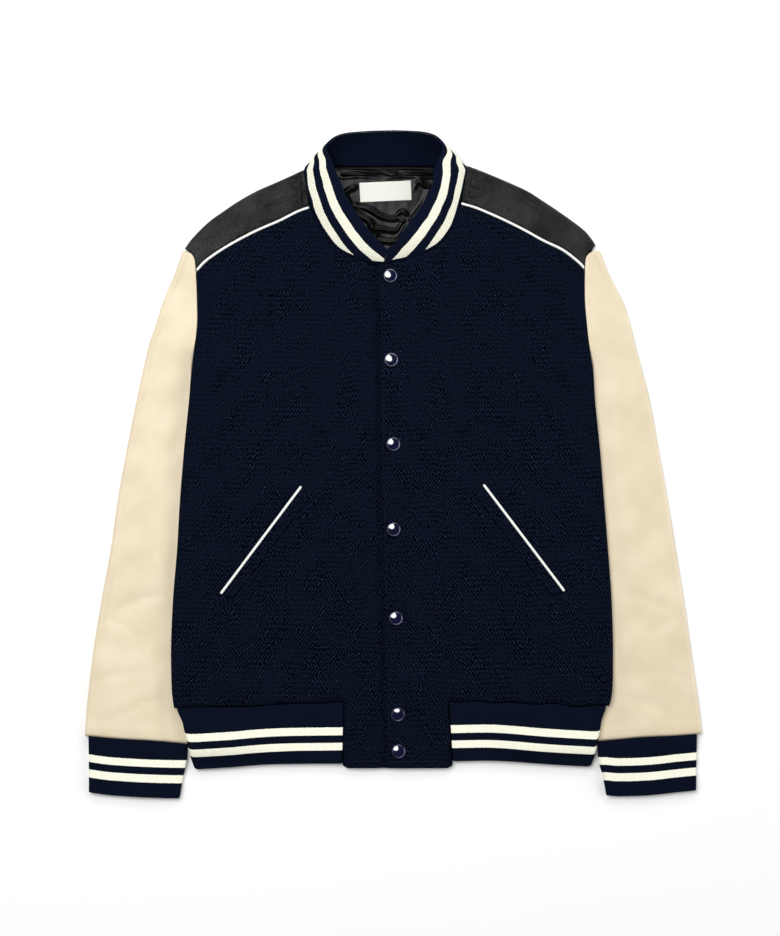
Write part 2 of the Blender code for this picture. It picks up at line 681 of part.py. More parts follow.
def sleeve(side, look, collection):
    """A flattened tube, open at the armhole and at the cuff, seamed along its inner fold."""
    grid = []
    for level in (SLEEVE_LOW_Y, *SLEEVE_ROWS):
        slant = ((level - ARMHOLE_TOP) / (SLEEVE_LOW_Y - ARMHOLE_TOP)) ** 3
        folded = float(ease(ARMHOLE_LOW, FOLD_DONE, level))
        angle = BUTT_ANGLE + (SLEEVE_FOLD_ANGLE - BUTT_ANGLE) * folded
        inner = float(tucked_reach(side, level))
        outer = float(reach(SLEEVE_EDGE, side, level))
        inner_radius = float(sleeve_height(side, inner, level)) / 2
        outer_radius = min(SLEEVE_EDGE_TOP / 2, (outer - inner) * 0.55)
        inner_centre = inner + inner_radius * math.sin(angle)
        outer_centre = max(outer - outer_radius, inner_centre + 0.2)
        section = []
        for share in FOLD_STEPS[::-1]:
            turn = angle * share
            section.append((inner_centre - inner_radius * math.sin(turn),
                            inner_radius * (1 + math.cos(turn))))
        edge = float(reach(BODY_EDGE, side, max(level, BODY_EDGE[0][0])))
        stops = [inner_centre, *(edge + stop for stop in SLEEVE_STOPS)]
        stops[1] = max(stops[1], inner_centre)
        stops = [min(stop, outer_centre - 0.2 * (4 - k)) for k, stop in enumerate(stops)]
        stops += [stops[-1] + (outer_centre - stops[-1]) * share for share in (0.5, 1)]
        if stops[1] - stops[0] < 0.4:
            stops = list(np.linspace(inner_centre, outer_centre, 6))
        for stop in stops:
            section.append((stop, float(sleeve_height(side, stop, level))))
        section[-1] = (outer_centre, 2 * outer_radius)
        for turn in np.radians((45, 0, -45, -90)):
            section.append((outer_centre + outer_radius * math.cos(turn),
                            outer_radius * (1 + math.sin(turn))))
        for share in (0.5, 1):
            section.append((outer_centre + share * (inner_centre - outer_centre), 0.0))
        for share in FOLD_STEPS:
            turn = angle * share
            section.append((inner_centre - inner_radius * math.sin(turn),
                            inner_radius * (1 - math.cos(turn))))
        row = []
        for out, z in section:
            seam_y = graph(CUFF_SEAM, out, 1 if side == RIGHT else 2) + SEAM / 2
            row.append((side * out, level + slant * (seam_y - SLEEVE_LOW_Y), z))
        grid.append(row)
    shell("sleeve_" + SIDE_NAMES[side], np.array(grid), SLEEVE_WALL, look, collection, outward=side)


def rib_columns(length):
    """Fractions of a stretch at the ribs' crests and troughs, and which are troughs."""
    ribs = max(2, round(length / RIB_PITCH))
    return np.linspace(0, 1, 2 * ribs + 1), [k % 2 for k in range(2 * ribs + 1)]


def every(count, step):
    """Every step-th column and the last one."""
    kept = list(range(0, count, step))
    if kept[-1] != count - 1:
        kept.append(count - 1)
    return kept


def cuff(side, look, collection):
    """A rib tube, folded at its bottom edge; its underside lies flat and plain."""
    radius = CUFF_TOP / 2
    shares, troughs = rib_columns(CUFF_EDGE[0][3] - CUFF_EDGE[0][1])
    rows = []
    bottoms = 1 if side == RIGHT else 2
    low_y = graph(CUFF_BOTTOM, CUFF_MIDDLE, bottoms)
    high_y = graph(CUFF_SEAM, CUFF_MIDDLE, bottoms)
    for share, drop in ((0.0, 0.8), (0.4, 0.0), (1.0, 0.3)):
        points = []
        ring = radius - drop
        mid_y = low_y * (1 - share) + high_y * share
        inner = graph(CUFF_EDGE, mid_y, bottoms)
        outer = graph(CUFF_EDGE, mid_y, bottoms + 2)
        for fraction in shares:
            points.append((inner + ring + (outer - inner - 2 * ring) * fraction, radius + ring))
        for turn in np.radians((55, 20, -20, -55, -90)):
            points.append((outer - ring + ring * math.cos(turn), radius + ring * math.sin(turn)))
        points.append(((inner + outer) / 2, radius - ring))
        for turn in np.radians((-90, -125, -160, 160, 125)):
            points.append((inner + ring + ring * math.cos(turn), radius + ring * math.sin(turn)))
        row = []
        for out, z in points:
            low = graph(CUFF_BOTTOM, out, bottoms)
            high = graph(CUFF_SEAM, out, bottoms) - SEAM
            row.append((side * out, low + share * (high - low), z))
        rows.append(row)
    grid = np.array(rows)
    troughs = troughs + [0] * 11
    coarse = every(len(shares), 8)
    coarse += list(range(len(shares), len(shares) + 11))
    if side == RIGHT:
        total = grid.shape[1]
        coarse = sorted(total - 1 - k for k in coarse)
        shift = coarse[0]
        coarse = [k - shift for k in coarse]
        grid = np.roll(grid[:, ::-1], -shift, axis=1)
        troughs = list(np.roll(troughs[::-1], -shift))
    ribbed("cuff_" + SIDE_NAMES[side], grid, troughs, coarse, RIB_WALL, look, collection, closed=True)


def hem_front(side, look, collection):
    """Front stretch of the hem rib, from the tab to the side seam."""
    tab_x = abs(TAB_X[side]) + SEAM
    radius = HEM_TOP / 2
    shares, troughs = rib_columns(reach(HEM_EDGE, side, -300.0) - tab_x)
    rows = []
    for share, drop in ((0.0, 0.5), (0.3, 0.0), (0.65, 0.0), (1.0, 0.2)):
        points = []
        mid_y = HEM_LOW_Y + share * HEM_DEPTH
        edge = float(reach(HEM_EDGE, side, mid_y))
        start = tab_x + TAB_FLARE[side] * (1 - share)
        for fraction in shares:
            points.append((start + (edge - radius - start) * fraction, None))
        for turn in np.radians((60, 41, 28, 22)):
            points.append((edge - radius + radius * math.cos(turn), math.sin(turn)))
        row = []
        for out, curve in points:
            x = side * out
            low = graph(HEM_BOTTOM, x)
            high = graph(HEM_SEAM, x) - SEAM / 2
            y = low + share * (high - low)
            base = float(lift(np.array(x), np.array(y)))
            z = HEM_TOP - drop + base
            if curve is not None:
                z = radius + (radius - drop) * curve + base
            row.append((x, y, z))
        rows.append(row)
    grid = np.array(rows)
    troughs = troughs + [0, 0, 0, 0]
    coarse = every(len(shares), 8)
    coarse += list(range(len(shares), len(shares) + 4))
    if side == RIGHT:
        total = grid.shape[1]
        grid, troughs = grid[:, ::-1], troughs[::-1]
        coarse = sorted(total - 1 - k for k in coarse)
    ribbed("hem_rib_" + SIDE_NAMES[side], grid, troughs, coarse, RIB_WALL, look, collection)


def hem_back(look, collection):
    """Back stretch of the hem rib, flat where it rests on the surface."""
    radius = HEM_TOP / 2
    rows = []
    for share in (0.0, 0.25, 0.5, 0.75, 1.0):
        mid_y = HEM_LOW_Y + share * HEM_DEPTH
        row = []
        for side in (RIGHT, LEFT):
            edge = float(reach(HEM_EDGE, side, mid_y))
            arc = [(edge - radius + radius * math.cos(turn), radius + radius * math.sin(turn))
                   for turn in np.radians((-90, -60, -40, -26, -20))]
            flat = [(edge * part, 0.0) for part in (0.2, 0.42, 0.5, 0.59, 0.67, 0.82)]
            ladder = [(side * out, z) for out, z in flat + arc]
            row = row + ladder if side == LEFT else ladder[::-1]
        line = []
        for x, z in row:
            low = graph(HEM_BOTTOM, x)
            high = graph(HEM_SEAM, x) - SEAM / 2
            y = low + share * (high - low)
            line.append((x, y, z + float(lift(np.array(x), np.array(y)))))
        rows.append(line)
    shell("hem_rib_back", np.array(rows), RIB_WALL, look, collection, outward=-1)


def collar(look, collection):
    """Rib band from the neck seam to its folded top edge, leaning in at the front and sides."""
    table = curved(COLLAR, 10)
    length = np.linalg.norm(np.diff(table[:, 3:5], axis=0), axis=1)
    length = length + np.linalg.norm(np.diff(table[:, 0:2], axis=0), axis=1)
    at = np.concatenate(([0.0], np.cumsum(length))) / length.sum()
    shares, troughs = rib_columns(length.sum() / 2)
    stations = np.column_stack([np.interp(shares, at, axis) for axis in table.T])
    seam, fold = stations[:, :3], stations[:, 3:]
    across = fold - seam
    along = np.gradient(seam + fold, axis=0)
    facing = np.cross(across, along)
    facing /= np.linalg.norm(facing, axis=1)[:, None]
    size = np.linalg.norm(across, axis=1)[:, None]
    rows = []
    for share, back in ((0.0, 0.0), (0.5, 0.0), (1.0, 0.4)):
        bulge = COLLAR_BULGE * math.sin(math.pi * share) * np.minimum(size / 45, 1)
        rows.append(seam + share * across + facing * (bulge - back))
    grid = np.array(rows)
    count = grid.shape[1]
    ribbed("collar", grid[:, ::-1], troughs[::-1], every(count, 7), RIB_WALL, look, collection)


def piping(name, line, height, look, collection):
    points = [(x, y, height) for x, y in trace(line, 7)]
    tube(name, points, PIPING_RADIUS, look, collection)


def pocket_frame(side):
    """Top of the opening, direction down it and direction across the welt."""
    x0, y0, x1, y1 = POCKETS[side]
    top = np.array((x0, y0))
    down = np.array((x1 - x0, y1 - y0))
    length = np.linalg.norm(down)
    down /= length
    across = np.array((side * down[1], -side * down[0]))
    return top, down, across, length


def pocket(side, wool, white, collection):
    """Welt strip on the front with a piping along its upper edge."""
    top, down, across, length = pocket_frame(side)
    height = FRONT_HEIGHTS[side]
    grid = []
    for share in np.linspace(0, 1, 9):
        row = []
        for width in (WELT_START, WELT_WIDTH / 2, WELT_WIDTH):
            x, y = top + down * (length * share) + across * width
            z = float(height(np.array(x), np.array(y))) + SEAM + 0.3 + WELT_WALL
            row.append((x, y, z))
        grid.append(row)
    shell("pocket_welt_" + SIDE_NAMES[side], np.array(grid), WELT_WALL, wool, collection,
          outward=-side)
    radius = POCKET_PIPING_RADIUS
    line = [top + down * (length * share) for share in np.linspace(0, 1, 9)]
    points = [(x, y, float(height(np.array(x), np.array(y))) + SEAM + 0.4 + radius)
              for x, y in line]
    tube("pocket_piping_" + SIDE_NAMES[side], points, radius, white, collection)


def snap(number, x, y, look, collection):
    """Domed cap in a low rim."""
    mesh = bpy.data.meshes.new("snap")
    edges = [(k, k + 1) for k in range(len(SNAP_PROFILE) - 1)]
    mesh.from_pydata([(r * MM, 0, z * MM) for r, z in SNAP_PROFILE], edges, [])
    obj = bpy.data.objects.new("snap_%d" % number, mesh)
    turn = obj.modifiers.new("Turn", "SCREW")
    turn.steps = SNAP_STEPS
    turn.render_steps = SNAP_STEPS
    turn.use_merge_vertices = True
    turn.merge_threshold = 0.00005
    height = float(left_front_height(np.array(x), np.array(y)))
    obj.location = (x * MM, y * MM, (height + SEAM) * MM)
    mesh.materials.append(look)
    collection.objects.link(obj)


def neck_parts(satin, white, collection):
    """The lining that the neck shows, the hanger strip and the blank label on it."""
    base = WOOL_WALL + SEAM
    right, left = [trace(LINING_EDGE[side], 8) for side in (RIGHT, LEFT)]
    low, high = [np.linspace(right[end], left[end], 7) for end in (0, -1)]
    plan = fill(low, high, right, left)
    grid = shelf(np.full(plan.shape[:2], base + LINING_WALL), plan[..., 0], plan[..., 1])
    shell("neck_lining", grid, LINING_WALL, satin, collection)
    top = base + LINING_WALL + SEAM + STRIP_WALL
    strip = []
    for share in np.linspace(0, 1, 5):
        x = HANGER_ENDS[0] + share * (HANGER_ENDS[1] - HANGER_ENDS[0])
        bow = HANGER_BOW * math.sin(math.pi * share)
        strip.append([(x, HANGER_LEVELS[0] - bow, top), (x, HANGER_LEVELS[1], top)])
    shell("hanger_loop", np.array(strip).transpose(1, 0, 2), STRIP_WALL, satin, collection)
    half = np.array(LABEL_SIZE) / 2
    spin = np.array(((math.cos(LABEL_TILT), -math.sin(LABEL_TILT)),
                     (math.sin(LABEL_TILT), math.cos(LABEL_TILT))))
    tag = []
    for v in (-1, 1):
        tag.append([(*(np.array(LABEL_CENTRE) + spin @ (half * (u, v))), top)
                    for u in (-1, 0, 1)])
    shell("neck_label", np.array(tag), STRIP_WALL, white, collection)


def build():
    clear_scene()
    parts = bpy.data.collections.new("varsity_jacket")
    bpy.context.scene.collection.children.link(parts)
    wool = material("wool", (0.006, 0.009, 0.018), 0.9)
    leather = material("shoulder_leather", (0.04, 0.042, 0.038), 0.5)
    cream = material("sleeve_leather", (0.88, 0.76, 0.54), 0.45)
    rib = material("rib", (0.008, 0.011, 0.024), 0.85)
    satin = material("satin", (0.012, 0.012, 0.012), 0.3)
    white = material("white_trim", (0.9, 0.9, 0.88), 0.6)
    enamel = material("snap_enamel", (0.01, 0.014, 0.04), 0.15, 0.3)

    back_panel(wool, parts)
    hem_back(rib, parts)
    collar(rib, parts)
    for side in (RIGHT, LEFT):
        name = SIDE_NAMES[side]
        front(side, wool, parts)
        shoulder(side, leather, parts)
        sleeve(side, cream, parts)
        cuff(side, rib, parts)
        hem_front(side, rib, parts)
        pocket(side, wool, white, parts)
        piping("shoulder_piping_" + name, PIPING[side], BODY_TOP - 0.3, white, parts)
        piping("back_piping_" + name, BACK_PIPING[side], PIPING_RADIUS, white, parts)
    for number, (x, y) in enumerate(SNAPS, 1):
        snap(number, x, y, enamel, parts)
    neck_parts(satin, white, parts)


build()
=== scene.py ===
import math

import bpy
import numpy as np
from mathutils.bvhtree import BVHTree
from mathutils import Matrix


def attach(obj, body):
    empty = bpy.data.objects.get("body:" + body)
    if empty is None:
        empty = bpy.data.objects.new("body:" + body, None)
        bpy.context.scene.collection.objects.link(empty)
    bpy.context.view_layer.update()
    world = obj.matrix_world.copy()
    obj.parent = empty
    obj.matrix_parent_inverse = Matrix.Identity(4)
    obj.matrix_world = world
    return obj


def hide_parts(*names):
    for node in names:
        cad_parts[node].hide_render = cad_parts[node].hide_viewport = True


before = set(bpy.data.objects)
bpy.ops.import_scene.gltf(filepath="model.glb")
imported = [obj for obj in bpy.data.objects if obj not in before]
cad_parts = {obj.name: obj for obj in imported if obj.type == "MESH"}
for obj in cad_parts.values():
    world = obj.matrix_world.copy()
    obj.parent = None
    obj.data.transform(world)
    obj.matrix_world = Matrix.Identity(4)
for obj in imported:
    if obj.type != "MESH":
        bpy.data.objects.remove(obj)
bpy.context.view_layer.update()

# Varsity jacket laid flat and face up. Lengths in the tables are millimetres, X to the wearer's
# left, Y towards the collar, Z up from the floor.
mm = 0.001
right, left = -1, 1
sideNames = {right: "right", left: "left"}
column = {right: 1, left: 2}    # of a table that has a value for each side

walls = {"wool": 2.4, "sleeve": 2.4, "shoulder": 2.2, "rib": 3.2, "lining": 0.8,
         "hanger": 0.8, "label": 0.7}
heights = {"body": 7.6, "sleeve": 8.6, "sleeveEdge": 8.2, "tucked": 5.8, "hem": 8.8, "cuff": 9.0}
ribKnit = {"pitch": 2.6, "perRib": 6, "depth": 0.42, "wall": 2.9}
lifting = {"rise": 6.4, "start": 0.42, "end": 0.67}    # body over the tucked sleeves
armhole = {"top": 248.0, "low": 150.0, "folded": 112.0, "butt": math.radians(12),
           "fold": math.radians(80), "sleeveFold": math.radians(66)}
lap = {"rise": 0.4, "drop": 2.5, "dipStart": 10.0, "dipEnd": 1.5, "underlap": 16.0}
tab = {"bottom": -352.6, "seam": -275.0, "out": {right: 58.0, left: 64.4},
       "flare": {right: 1.6, left: 4.6}}    # how much further out its bottom edge ends
seamGap, bodyLength = 0.3, 500.0

# Side edge of the body: y, reach on the right, on the left
bodyEdge = (
    (-281.3, 254.6, 250.0), (-261.6, 256.9, 253.5), (-215.2, 258.1, 254.6),
    (-157.2, 255.8, 252.9), (-99.2, 251.1, 248.8), (-41.2, 247.7, 244.2),
    (16.8, 243.0, 239.5), (74.8, 237.2, 233.7), (103.8, 234.9, 232.0),
    (132.8, 231.4, 227.9), (161.8, 227.9, 224.5), (190.8, 227.9, 222.1),
    (224.5, 229.3, 222.1), (241.9, 232.2, 224.1), (250.2, 242.6, 234.6),
)
# Outer fold of the sleeve: y, reach on the right, on the left
sleeveEdge = (
    (-313.8, 359.0, 357.9), (-273.2, 355.5, 353.2), (-215.2, 348.6, 345.1),
    (-157.2, 339.3, 337.0), (-99.2, 328.9, 327.7), (-41.2, 320.7, 318.4),
    (16.8, 310.3, 308.0), (74.8, 298.7, 297.5), (132.8, 285.9, 282.5),
    (161.8, 276.7, 275.5), (190.8, 267.4, 266.2), (220.0, 255.2, 251.1),
    (248.0, 245.3, 240.0),
)
# Inner fold of the sleeve under the body: y, reach on the right, on the left
tuckEdge = (
    (-325.0, 238.4, 236.1), (-300.0, 229.0, 226.0), (-273.0, 220.0, 216.0),
    (-157.0, 199.0, 196.0), (10.0, 190.0, 187.0), (60.0, 206.0, 202.0),
    (95.0, 229.0, 225.0), (110.0, 234.8, 231.9),
)
# Side edge of the hem rib: y, reach on the right, on the left
hemEdge = (
    (-352.0, 231.0, 229.0), (-339.3, 235.4, 233.6), (-325.4, 238.6, 236.6),
    (-311.5, 242.0, 239.5), (-296.4, 245.3, 241.9), (-284.8, 251.1, 246.5),
)
# Seam between wool and hem rib, and the rib's bottom edge: x, y
hemSeam = (
    (-258.0, -282.5), (-200.0, -281.0), (-130.0, -279.0), (-58.0, -275.5),
    (64.4, -275.5), (130.0, -277.0), (200.0, -279.5), (254.0, -280.5),
)
hemBottom = (
    (-228.0, -354.4), (-190.0, -352.1), (-143.0, -348.5), (-58.0, -347.4),
    (64.4, -345.0), (123.5, -344.5), (181.5, -348.6), (232.0, -351.5),
)
# Seam between sleeve and cuff, and the cuff's bottom edge: reach, y right, y left
cuffSeam = (
    (236.1, -325.4, -322.0), (262.0, -322.8, -319.6), (285.0, -320.5, -317.2),
    (320.0, -318.4, -315.4), (359.0, -315.0, -312.6),
)
cuffBottom = (
    (247.0, -388.0, -384.5), (262.7, -387.9, -385.7), (297.5, -386.6, -384.5),
    (330.0, -384.4, -381.0), (354.4, -381.0, -378.7),
)
# Side edges of a cuff: y, inner reach right and left, outer reach right and left
cuffEdge = (
    (-388.0, 248.8, 247.7, 354.4, 352.0), (-360.0, 244.2, 243.0, 354.4, 352.2),
    (-339.0, 239.5, 237.2, 354.6, 352.6), (-312.0, 238.8, 236.6, 355.0, 353.2),
)
# Edge of the front that laps over: y, x
placketEdge = (
    (tab["bottom"], -11.0), (-203.6, -13.3), (-41.2, -16.8), (219.8, -20.3), (240.0, -20.6),
)
# Plan curves from the neck outwards
neckLines = {
    right: ((-12.2, 232.2), (-26.1, 233.9), (-42.3, 238.0), (-53.9, 242.2), (-72.0, 255.4),
            (-84.4, 273.6), (-92.5, 288.0), (-98.0, 299.0)),
    left: ((-12.0, 232.2), (-0.7, 233.9), (12.5, 237.2), (29.1, 243.0), (45.7, 250.4),
           (60.6, 262.0), (70.5, 278.6), (77.1, 300.2)),
}
pipingLines = {
    right: ((-98.0, 298.6), (-111.9, 293.6), (-131.7, 283.6), (-158.3, 272.0), (-181.0, 260.4),
            (-200.7, 248.8), (-218.1, 236.6), (-228.6, 225.6)),
    left: ((78.6, 303.2), (91.6, 299.5), (103.2, 295.2), (129.3, 283.6), (152.5, 272.0),
           (173.4, 260.4), (197.2, 248.8), (215.2, 234.9), (221.4, 228.0)),
}
shoulderLines = {
    right: ((-103.6, 343.0), (-131.7, 330.0), (-158.3, 318.4), (-179.2, 306.8), (-196.6, 295.2),
            (-212.9, 283.6), (-225.6, 272.0), (-236.1, 260.4), (-242.6, 251.0)),
    left: ((85.8, 347.4), (101.5, 341.6), (129.3, 330.0), (154.9, 318.4), (173.4, 306.8),
           (190.8, 295.2), (207.1, 283.6), (222.1, 272.0), (231.6, 260.4), (234.9, 254.6)),
}
backPipingLines = {
    right: ((-66.0, 344.0), (-110.0, 313.0), (-160.0, 279.0), (-205.0, 247.0), (-228.6, 226.0)),
    left: ((48.0, 344.0), (98.0, 313.0), (150.0, 279.0), (196.0, 248.0), (221.4, 229.0)),
}
# Collar from the right front end round the back to the left front end:
# seam x, y, z, folded edge x, y, z
collarStations = (
    (-12.4, 232.6, 7.8, -7.7, 248.8, 17.0), (-26.1, 234.3, 7.8, -13.6, 255.0, 19.5),
    (-43.5, 239.0, 7.8, -20.6, 262.0, 22.0), (-66.5, 251.2, 7.8, -33.9, 277.0, 25.5),
    (-83.5, 273.3, 7.8, -45.5, 293.6, 28.5), (-91.6, 288.5, 7.8, -53.9, 306.8, 31.0),
    (-99.2, 309.5, 7.8, -62.1, 326.7, 33.5), (-102.2, 328.0, 7.6, -67.0, 336.6, 35.0),
    (-104.0, 341.5, 6.8, -72.6, 350.5, 35.6), (-99.5, 348.0, 4.6, -78.3, 364.8, 35.0),
    (-87.0, 349.2, 2.4, -71.3, 375.3, 33.5), (-67.0, 348.6, 1.2, -56.3, 382.2, 31.5),
    (-32.0, 348.4, 1.0, -27.3, 385.1, 30.0), (-8.0, 348.4, 1.0, -8.0, 385.6, 29.8),
    (18.0, 348.4, 1.0, 7.5, 385.7, 30.0), (52.0, 348.6, 1.2, 36.0, 383.6, 31.5),
    (70.0, 349.2, 2.4, 51.5, 377.0, 33.5), (81.5, 348.5, 4.6, 58.0, 364.0, 35.0),
    (85.6, 342.5, 6.8, 52.5, 350.5, 35.6), (83.2, 328.0, 7.6, 47.3, 338.3, 35.0),
    (79.6, 311.5, 7.8, 45.7, 324.0, 33.5), (72.6, 286.0, 7.8, 35.7, 303.0, 31.0),
    (66.5, 272.0, 7.8, 25.8, 288.6, 28.5), (53.0, 255.8, 7.8, 12.5, 270.5, 25.5),
    (30.5, 243.9, 7.8, 5.2, 260.6, 22.0), (12.5, 237.8, 7.8, 1.0, 255.0, 19.5),
    (-11.8, 232.9, 7.8, -7.2, 249.4, 17.0),
)
pocketLines = {right: (-107.0, -25.3, -200.1, -149.8), left: (104.4, -23.2, 197.8, -146.7)}
# Snaps: x, y, lean to the side, lean up the front
snapPlaces = ((-3.7, 219.4, 0.0, 0.0), (-2.6, 121.8, 0.02, -0.02), (-0.1, 23.9, -0.02, 0.01),
              (0.3, -75.2, 0.01, 0.02), (3.0, -178.4, -0.01, -0.02), (5.2, -290.0, 0.06, 0.04),
              (6.0, -332.7, -0.04, -0.05))
# Soft troughs in the fronts: x, y at both ends, half-width, depth
frontCreases = (
    (-197.0, -196.0, -170.0, -266.0, 8.0, 1.4), (184.0, -204.0, 158.0, -262.0, 8.0, 1.4),
    (-150.0, -252.0, -143.0, -276.0, 4.0, 1.2), (-110.0, -256.0, -106.0, -276.0, 5.0, 0.8),
    (110.0, -254.0, 106.0, -276.0, 5.0, 1.0), (215.0, -240.0, 206.0, -276.0, 6.0, 1.0),
    (-226.0, -236.0, -214.0, -278.0, 6.0, 1.0), (-196.0, 205.0, -150.0, 120.0, 16.0, 0.7),
    (190.0, 205.0, 150.0, 126.0, 16.0, 0.7), (-180.0, -258.0, -176.0, -279.0, 3.0, 0.8),
    (-128.0, -262.0, -131.0, -279.0, 3.0, 0.7), (-84.0, -262.0, -80.0, -277.0, 3.5, 0.6),
    (134.0, -262.0, 137.0, -277.0, 3.0, 0.8), (86.0, -260.0, 82.0, -276.0, 3.5, 0.6),
    (180.0, -262.0, 184.0, -279.0, 3.5, 0.8), (232.0, -250.0, 228.0, -279.0, 4.0, 0.7),
    (-215.0, -158.0, -236.0, -172.0, 7.0, 0.5), (212.0, -154.0, 236.0, -166.0, 7.0, 0.5),
)
# Soft troughs in a sleeve: reach, y at both ends, half-width, depth
sleeveCreases = (
    (262.0, 156.0, 300.0, -18.0, 16.0, 1.0), (262.0, -150.0, 322.0, -170.0, 7.0, 1.0),
    (300.0, -196.0, 345.0, -176.0, 6.0, 0.8), (262.0, -268.0, 330.0, -300.0, 7.0, 0.9),
    (290.0, -240.0, 350.0, -256.0, 7.0, 0.7),
)


def ease(start, end, value):    # 0 before start, 1 past end, smooth between
    t = np.clip((np.asarray(value, float) - start) / (end - start), 0, 1)
    return t * t * (3 - 2 * t)


def hump(value, centre, halfWidth):
    return np.exp(-((value - centre) / halfWidth) ** 2)


def reachAt(table, side, y):
    return tableAt(table, y, column[side])


def tableAt(table, value, at=1):
    rows = np.array(table)
    return np.interp(value, rows[:, 0], rows[:, at])


def smoothTable(table, at, value):    # a table read along a smooth curve
    dense = curved([(row[0], row[at]) for row in table])
    return np.interp(value, dense[:, 0], dense[:, 1])


def curved(points, perSpan=12):
    pts = np.array(points, float)
    padded = np.vstack([2 * pts[0] - pts[1], pts, 2 * pts[-1] - pts[-2]])
    dense = []
    for k in range(1, len(padded) - 2):
        a, b, c, d = padded[k - 1:k + 3]
        for t in np.arange(perSpan) / perSpan:
            dense.append(0.5 * (2 * b + (c - a) * t + (2 * a - 5 * b + 4 * c - d) * t ** 2
                                + (3 * b - a - 3 * c + d) * t ** 3))
    dense.append(pts[-1])
    return np.array(dense)


def travelled(points):    # distance along a line at each of its points
    steps = np.linalg.norm(np.diff(points, axis=0), axis=1)
    return np.concatenate(([0.0], np.cumsum(steps)))


def fractions(points):
    at = travelled(points)
    return at / at[-1]


def readAt(wanted, at, points):    # points of a line, read at other places along it
    return np.column_stack([np.interp(wanted, at, axis) for axis in np.asarray(points).T])


def trace(points, count):    # evenly spaced along the smooth curve
    dense = curved(points, 24)
    return readAt(np.linspace(0, 1, count), fractions(dense), dense)


def traceEven(points, spacing):
    return trace(points, max(2, round(travelled(curved(points, 24))[-1] / spacing) + 1))


def unit(vectors):
    vectors = np.asarray(vectors, float)
    return vectors / np.linalg.norm(vectors, axis=-1, keepdims=True)


def shifted(points, distance):
    along = unit(np.gradient(points, axis=0))
    return points + distance * np.column_stack([-along[:, 1], along[:, 0]])


def fill(bottom, top, start, end):    # grid between four edges, rows from bottom to top
    u = ((fractions(bottom) + fractions(top)) / 2)[None, :, None]
    v = ((fractions(start) + fractions(end)) / 2)[:, None, None]
    between = (1 - v) * bottom[None] + v * top[None]
    between = between + (1 - u) * start[:, None] + u * end[:, None]
    corners = (1 - u) * (1 - v) * bottom[0] + u * (1 - v) * bottom[-1]
    corners = corners + (1 - u) * v * top[0] + u * v * top[-1]
    return between - corners


def edgeDistances(plan):    # of each grid point from the bottom, top, start and end edges
    rise = np.linalg.norm(np.diff(plan, axis=0), axis=2)
    run = np.linalg.norm(np.diff(plan, axis=1), axis=2)
    up = np.concatenate([np.zeros((1, plan.shape[1])), np.cumsum(rise, axis=0)])
    along = np.concatenate([np.zeros((plan.shape[0], 1)), np.cumsum(run, axis=1)], axis=1)
    return up, up[-1:] - up, along, along[:, -1:] - along


def softNoise(x, y, size, seed):
    total = 0.0
    for k in range(5):
        angle, phase = seed * 1.7 + k * 2.4, seed * 3.1 + k * 1.9
        wave = 2 * math.pi / (size * (1 + 0.31 * k))
        total = total + np.sin((x * math.cos(angle) + y * math.sin(angle)) * wave + phase)
    return total / 5


def tuckedReach(side, y):
    beside = smoothTable(bodyEdge, column[side], y) + seamGap + 0.1
    inner = smoothTable(tuckEdge, column[side], y)
    return np.where(np.asarray(y) > tuckEdge[-1][0], beside, inner)


def bodyReach(side, y):
    return smoothTable(bodyEdge, column[side], y)


def sideReach(side, y):
    return np.where(np.asarray(y) < -283, reachAt(hemEdge, side, y), bodyReach(side, y))


def lift(x, y):
    edge = np.where(x < 0, sideReach(right, y), sideReach(left, y))
    over = ease(lifting["start"], lifting["end"], np.abs(x) / edge)
    return lifting["rise"] * over * ease(armhole["low"], armhole["folded"], y) \
        * ease(-348, -328, y)


def creases(table, x, y):
    depth = np.zeros(np.broadcast(x, y).shape)
    for x0, y0, x1, y1, halfWidth, trough in table:
        dx, dy = x1 - x0, y1 - y0
        along = ((x - x0) * dx + (y - y0) * dy) / (dx * dx + dy * dy)
        bow = 0.06 * math.hypot(dx, dy) * np.sin(np.clip(along, 0, 1) * math.pi)
        held = np.clip(along, 0, 1)
        away = np.hypot(x - x0 - held * dx + bow * dy / math.hypot(dx, dy),
                        y - y0 - held * dy - bow * dx / math.hypot(dx, dy))
        fade = 0.55 + 0.45 * np.sin(held * math.pi)
        depth = depth + trough * fade * np.exp(-(away / halfWidth) ** 2)
    return depth


def frontHeight(x, y):
    rise = (heights["hem"] - heights["body"]) * ease(-225, -268, y)
    swell = 1.6 * hump(y, -256, 15) * ease(45, 90, np.abs(x))
    return heights["body"] + lift(x, y) + rise + swell - creases(frontCreases, x, y)


def leftFrontHeight(x, y):
    return frontHeight(x, y) + ease(40, 15, x) * lap["rise"]


def rightFrontHeight(x, y):
    under = ease(-lap["dipStart"], -lap["dipEnd"], x - tableAt(placketEdge, y))
    return frontHeight(x, y) - lap["drop"] * under


frontHeights = {right: rightFrontHeight, left: leftFrontHeight}


def pieceName(words):
    first, *others = words.split()
    return first + "".join(word.capitalize() for word in others)


def makeObject(words, points, faces, material, uv=None):
    mesh = bpy.data.meshes.new(pieceName(words))
    mesh.from_pydata((np.asarray(points) * mm).tolist(), [], faces)
    if uv is not None:
        layer = mesh.uv_layers.new(name="cloth")
        corners = np.zeros(len(mesh.loops), np.int32)
        mesh.loops.foreach_get("vertex_index", corners)
        layer.data.foreach_set("uv", (np.asarray(uv)[corners] * mm).ravel())
    mesh.materials.append(material)
    mesh.shade_smooth()
    obj = bpy.data.objects.new(pieceName(words), mesh)
    bpy.context.scene.collection.objects.link(obj)
    return obj


def numbered(rows, columns, closed=False):    # grid of point numbers; closed joins its sides
    index = np.arange(rows * columns).reshape(rows, columns)
    return np.concatenate([index, index[:, :1]], axis=1) if closed else index


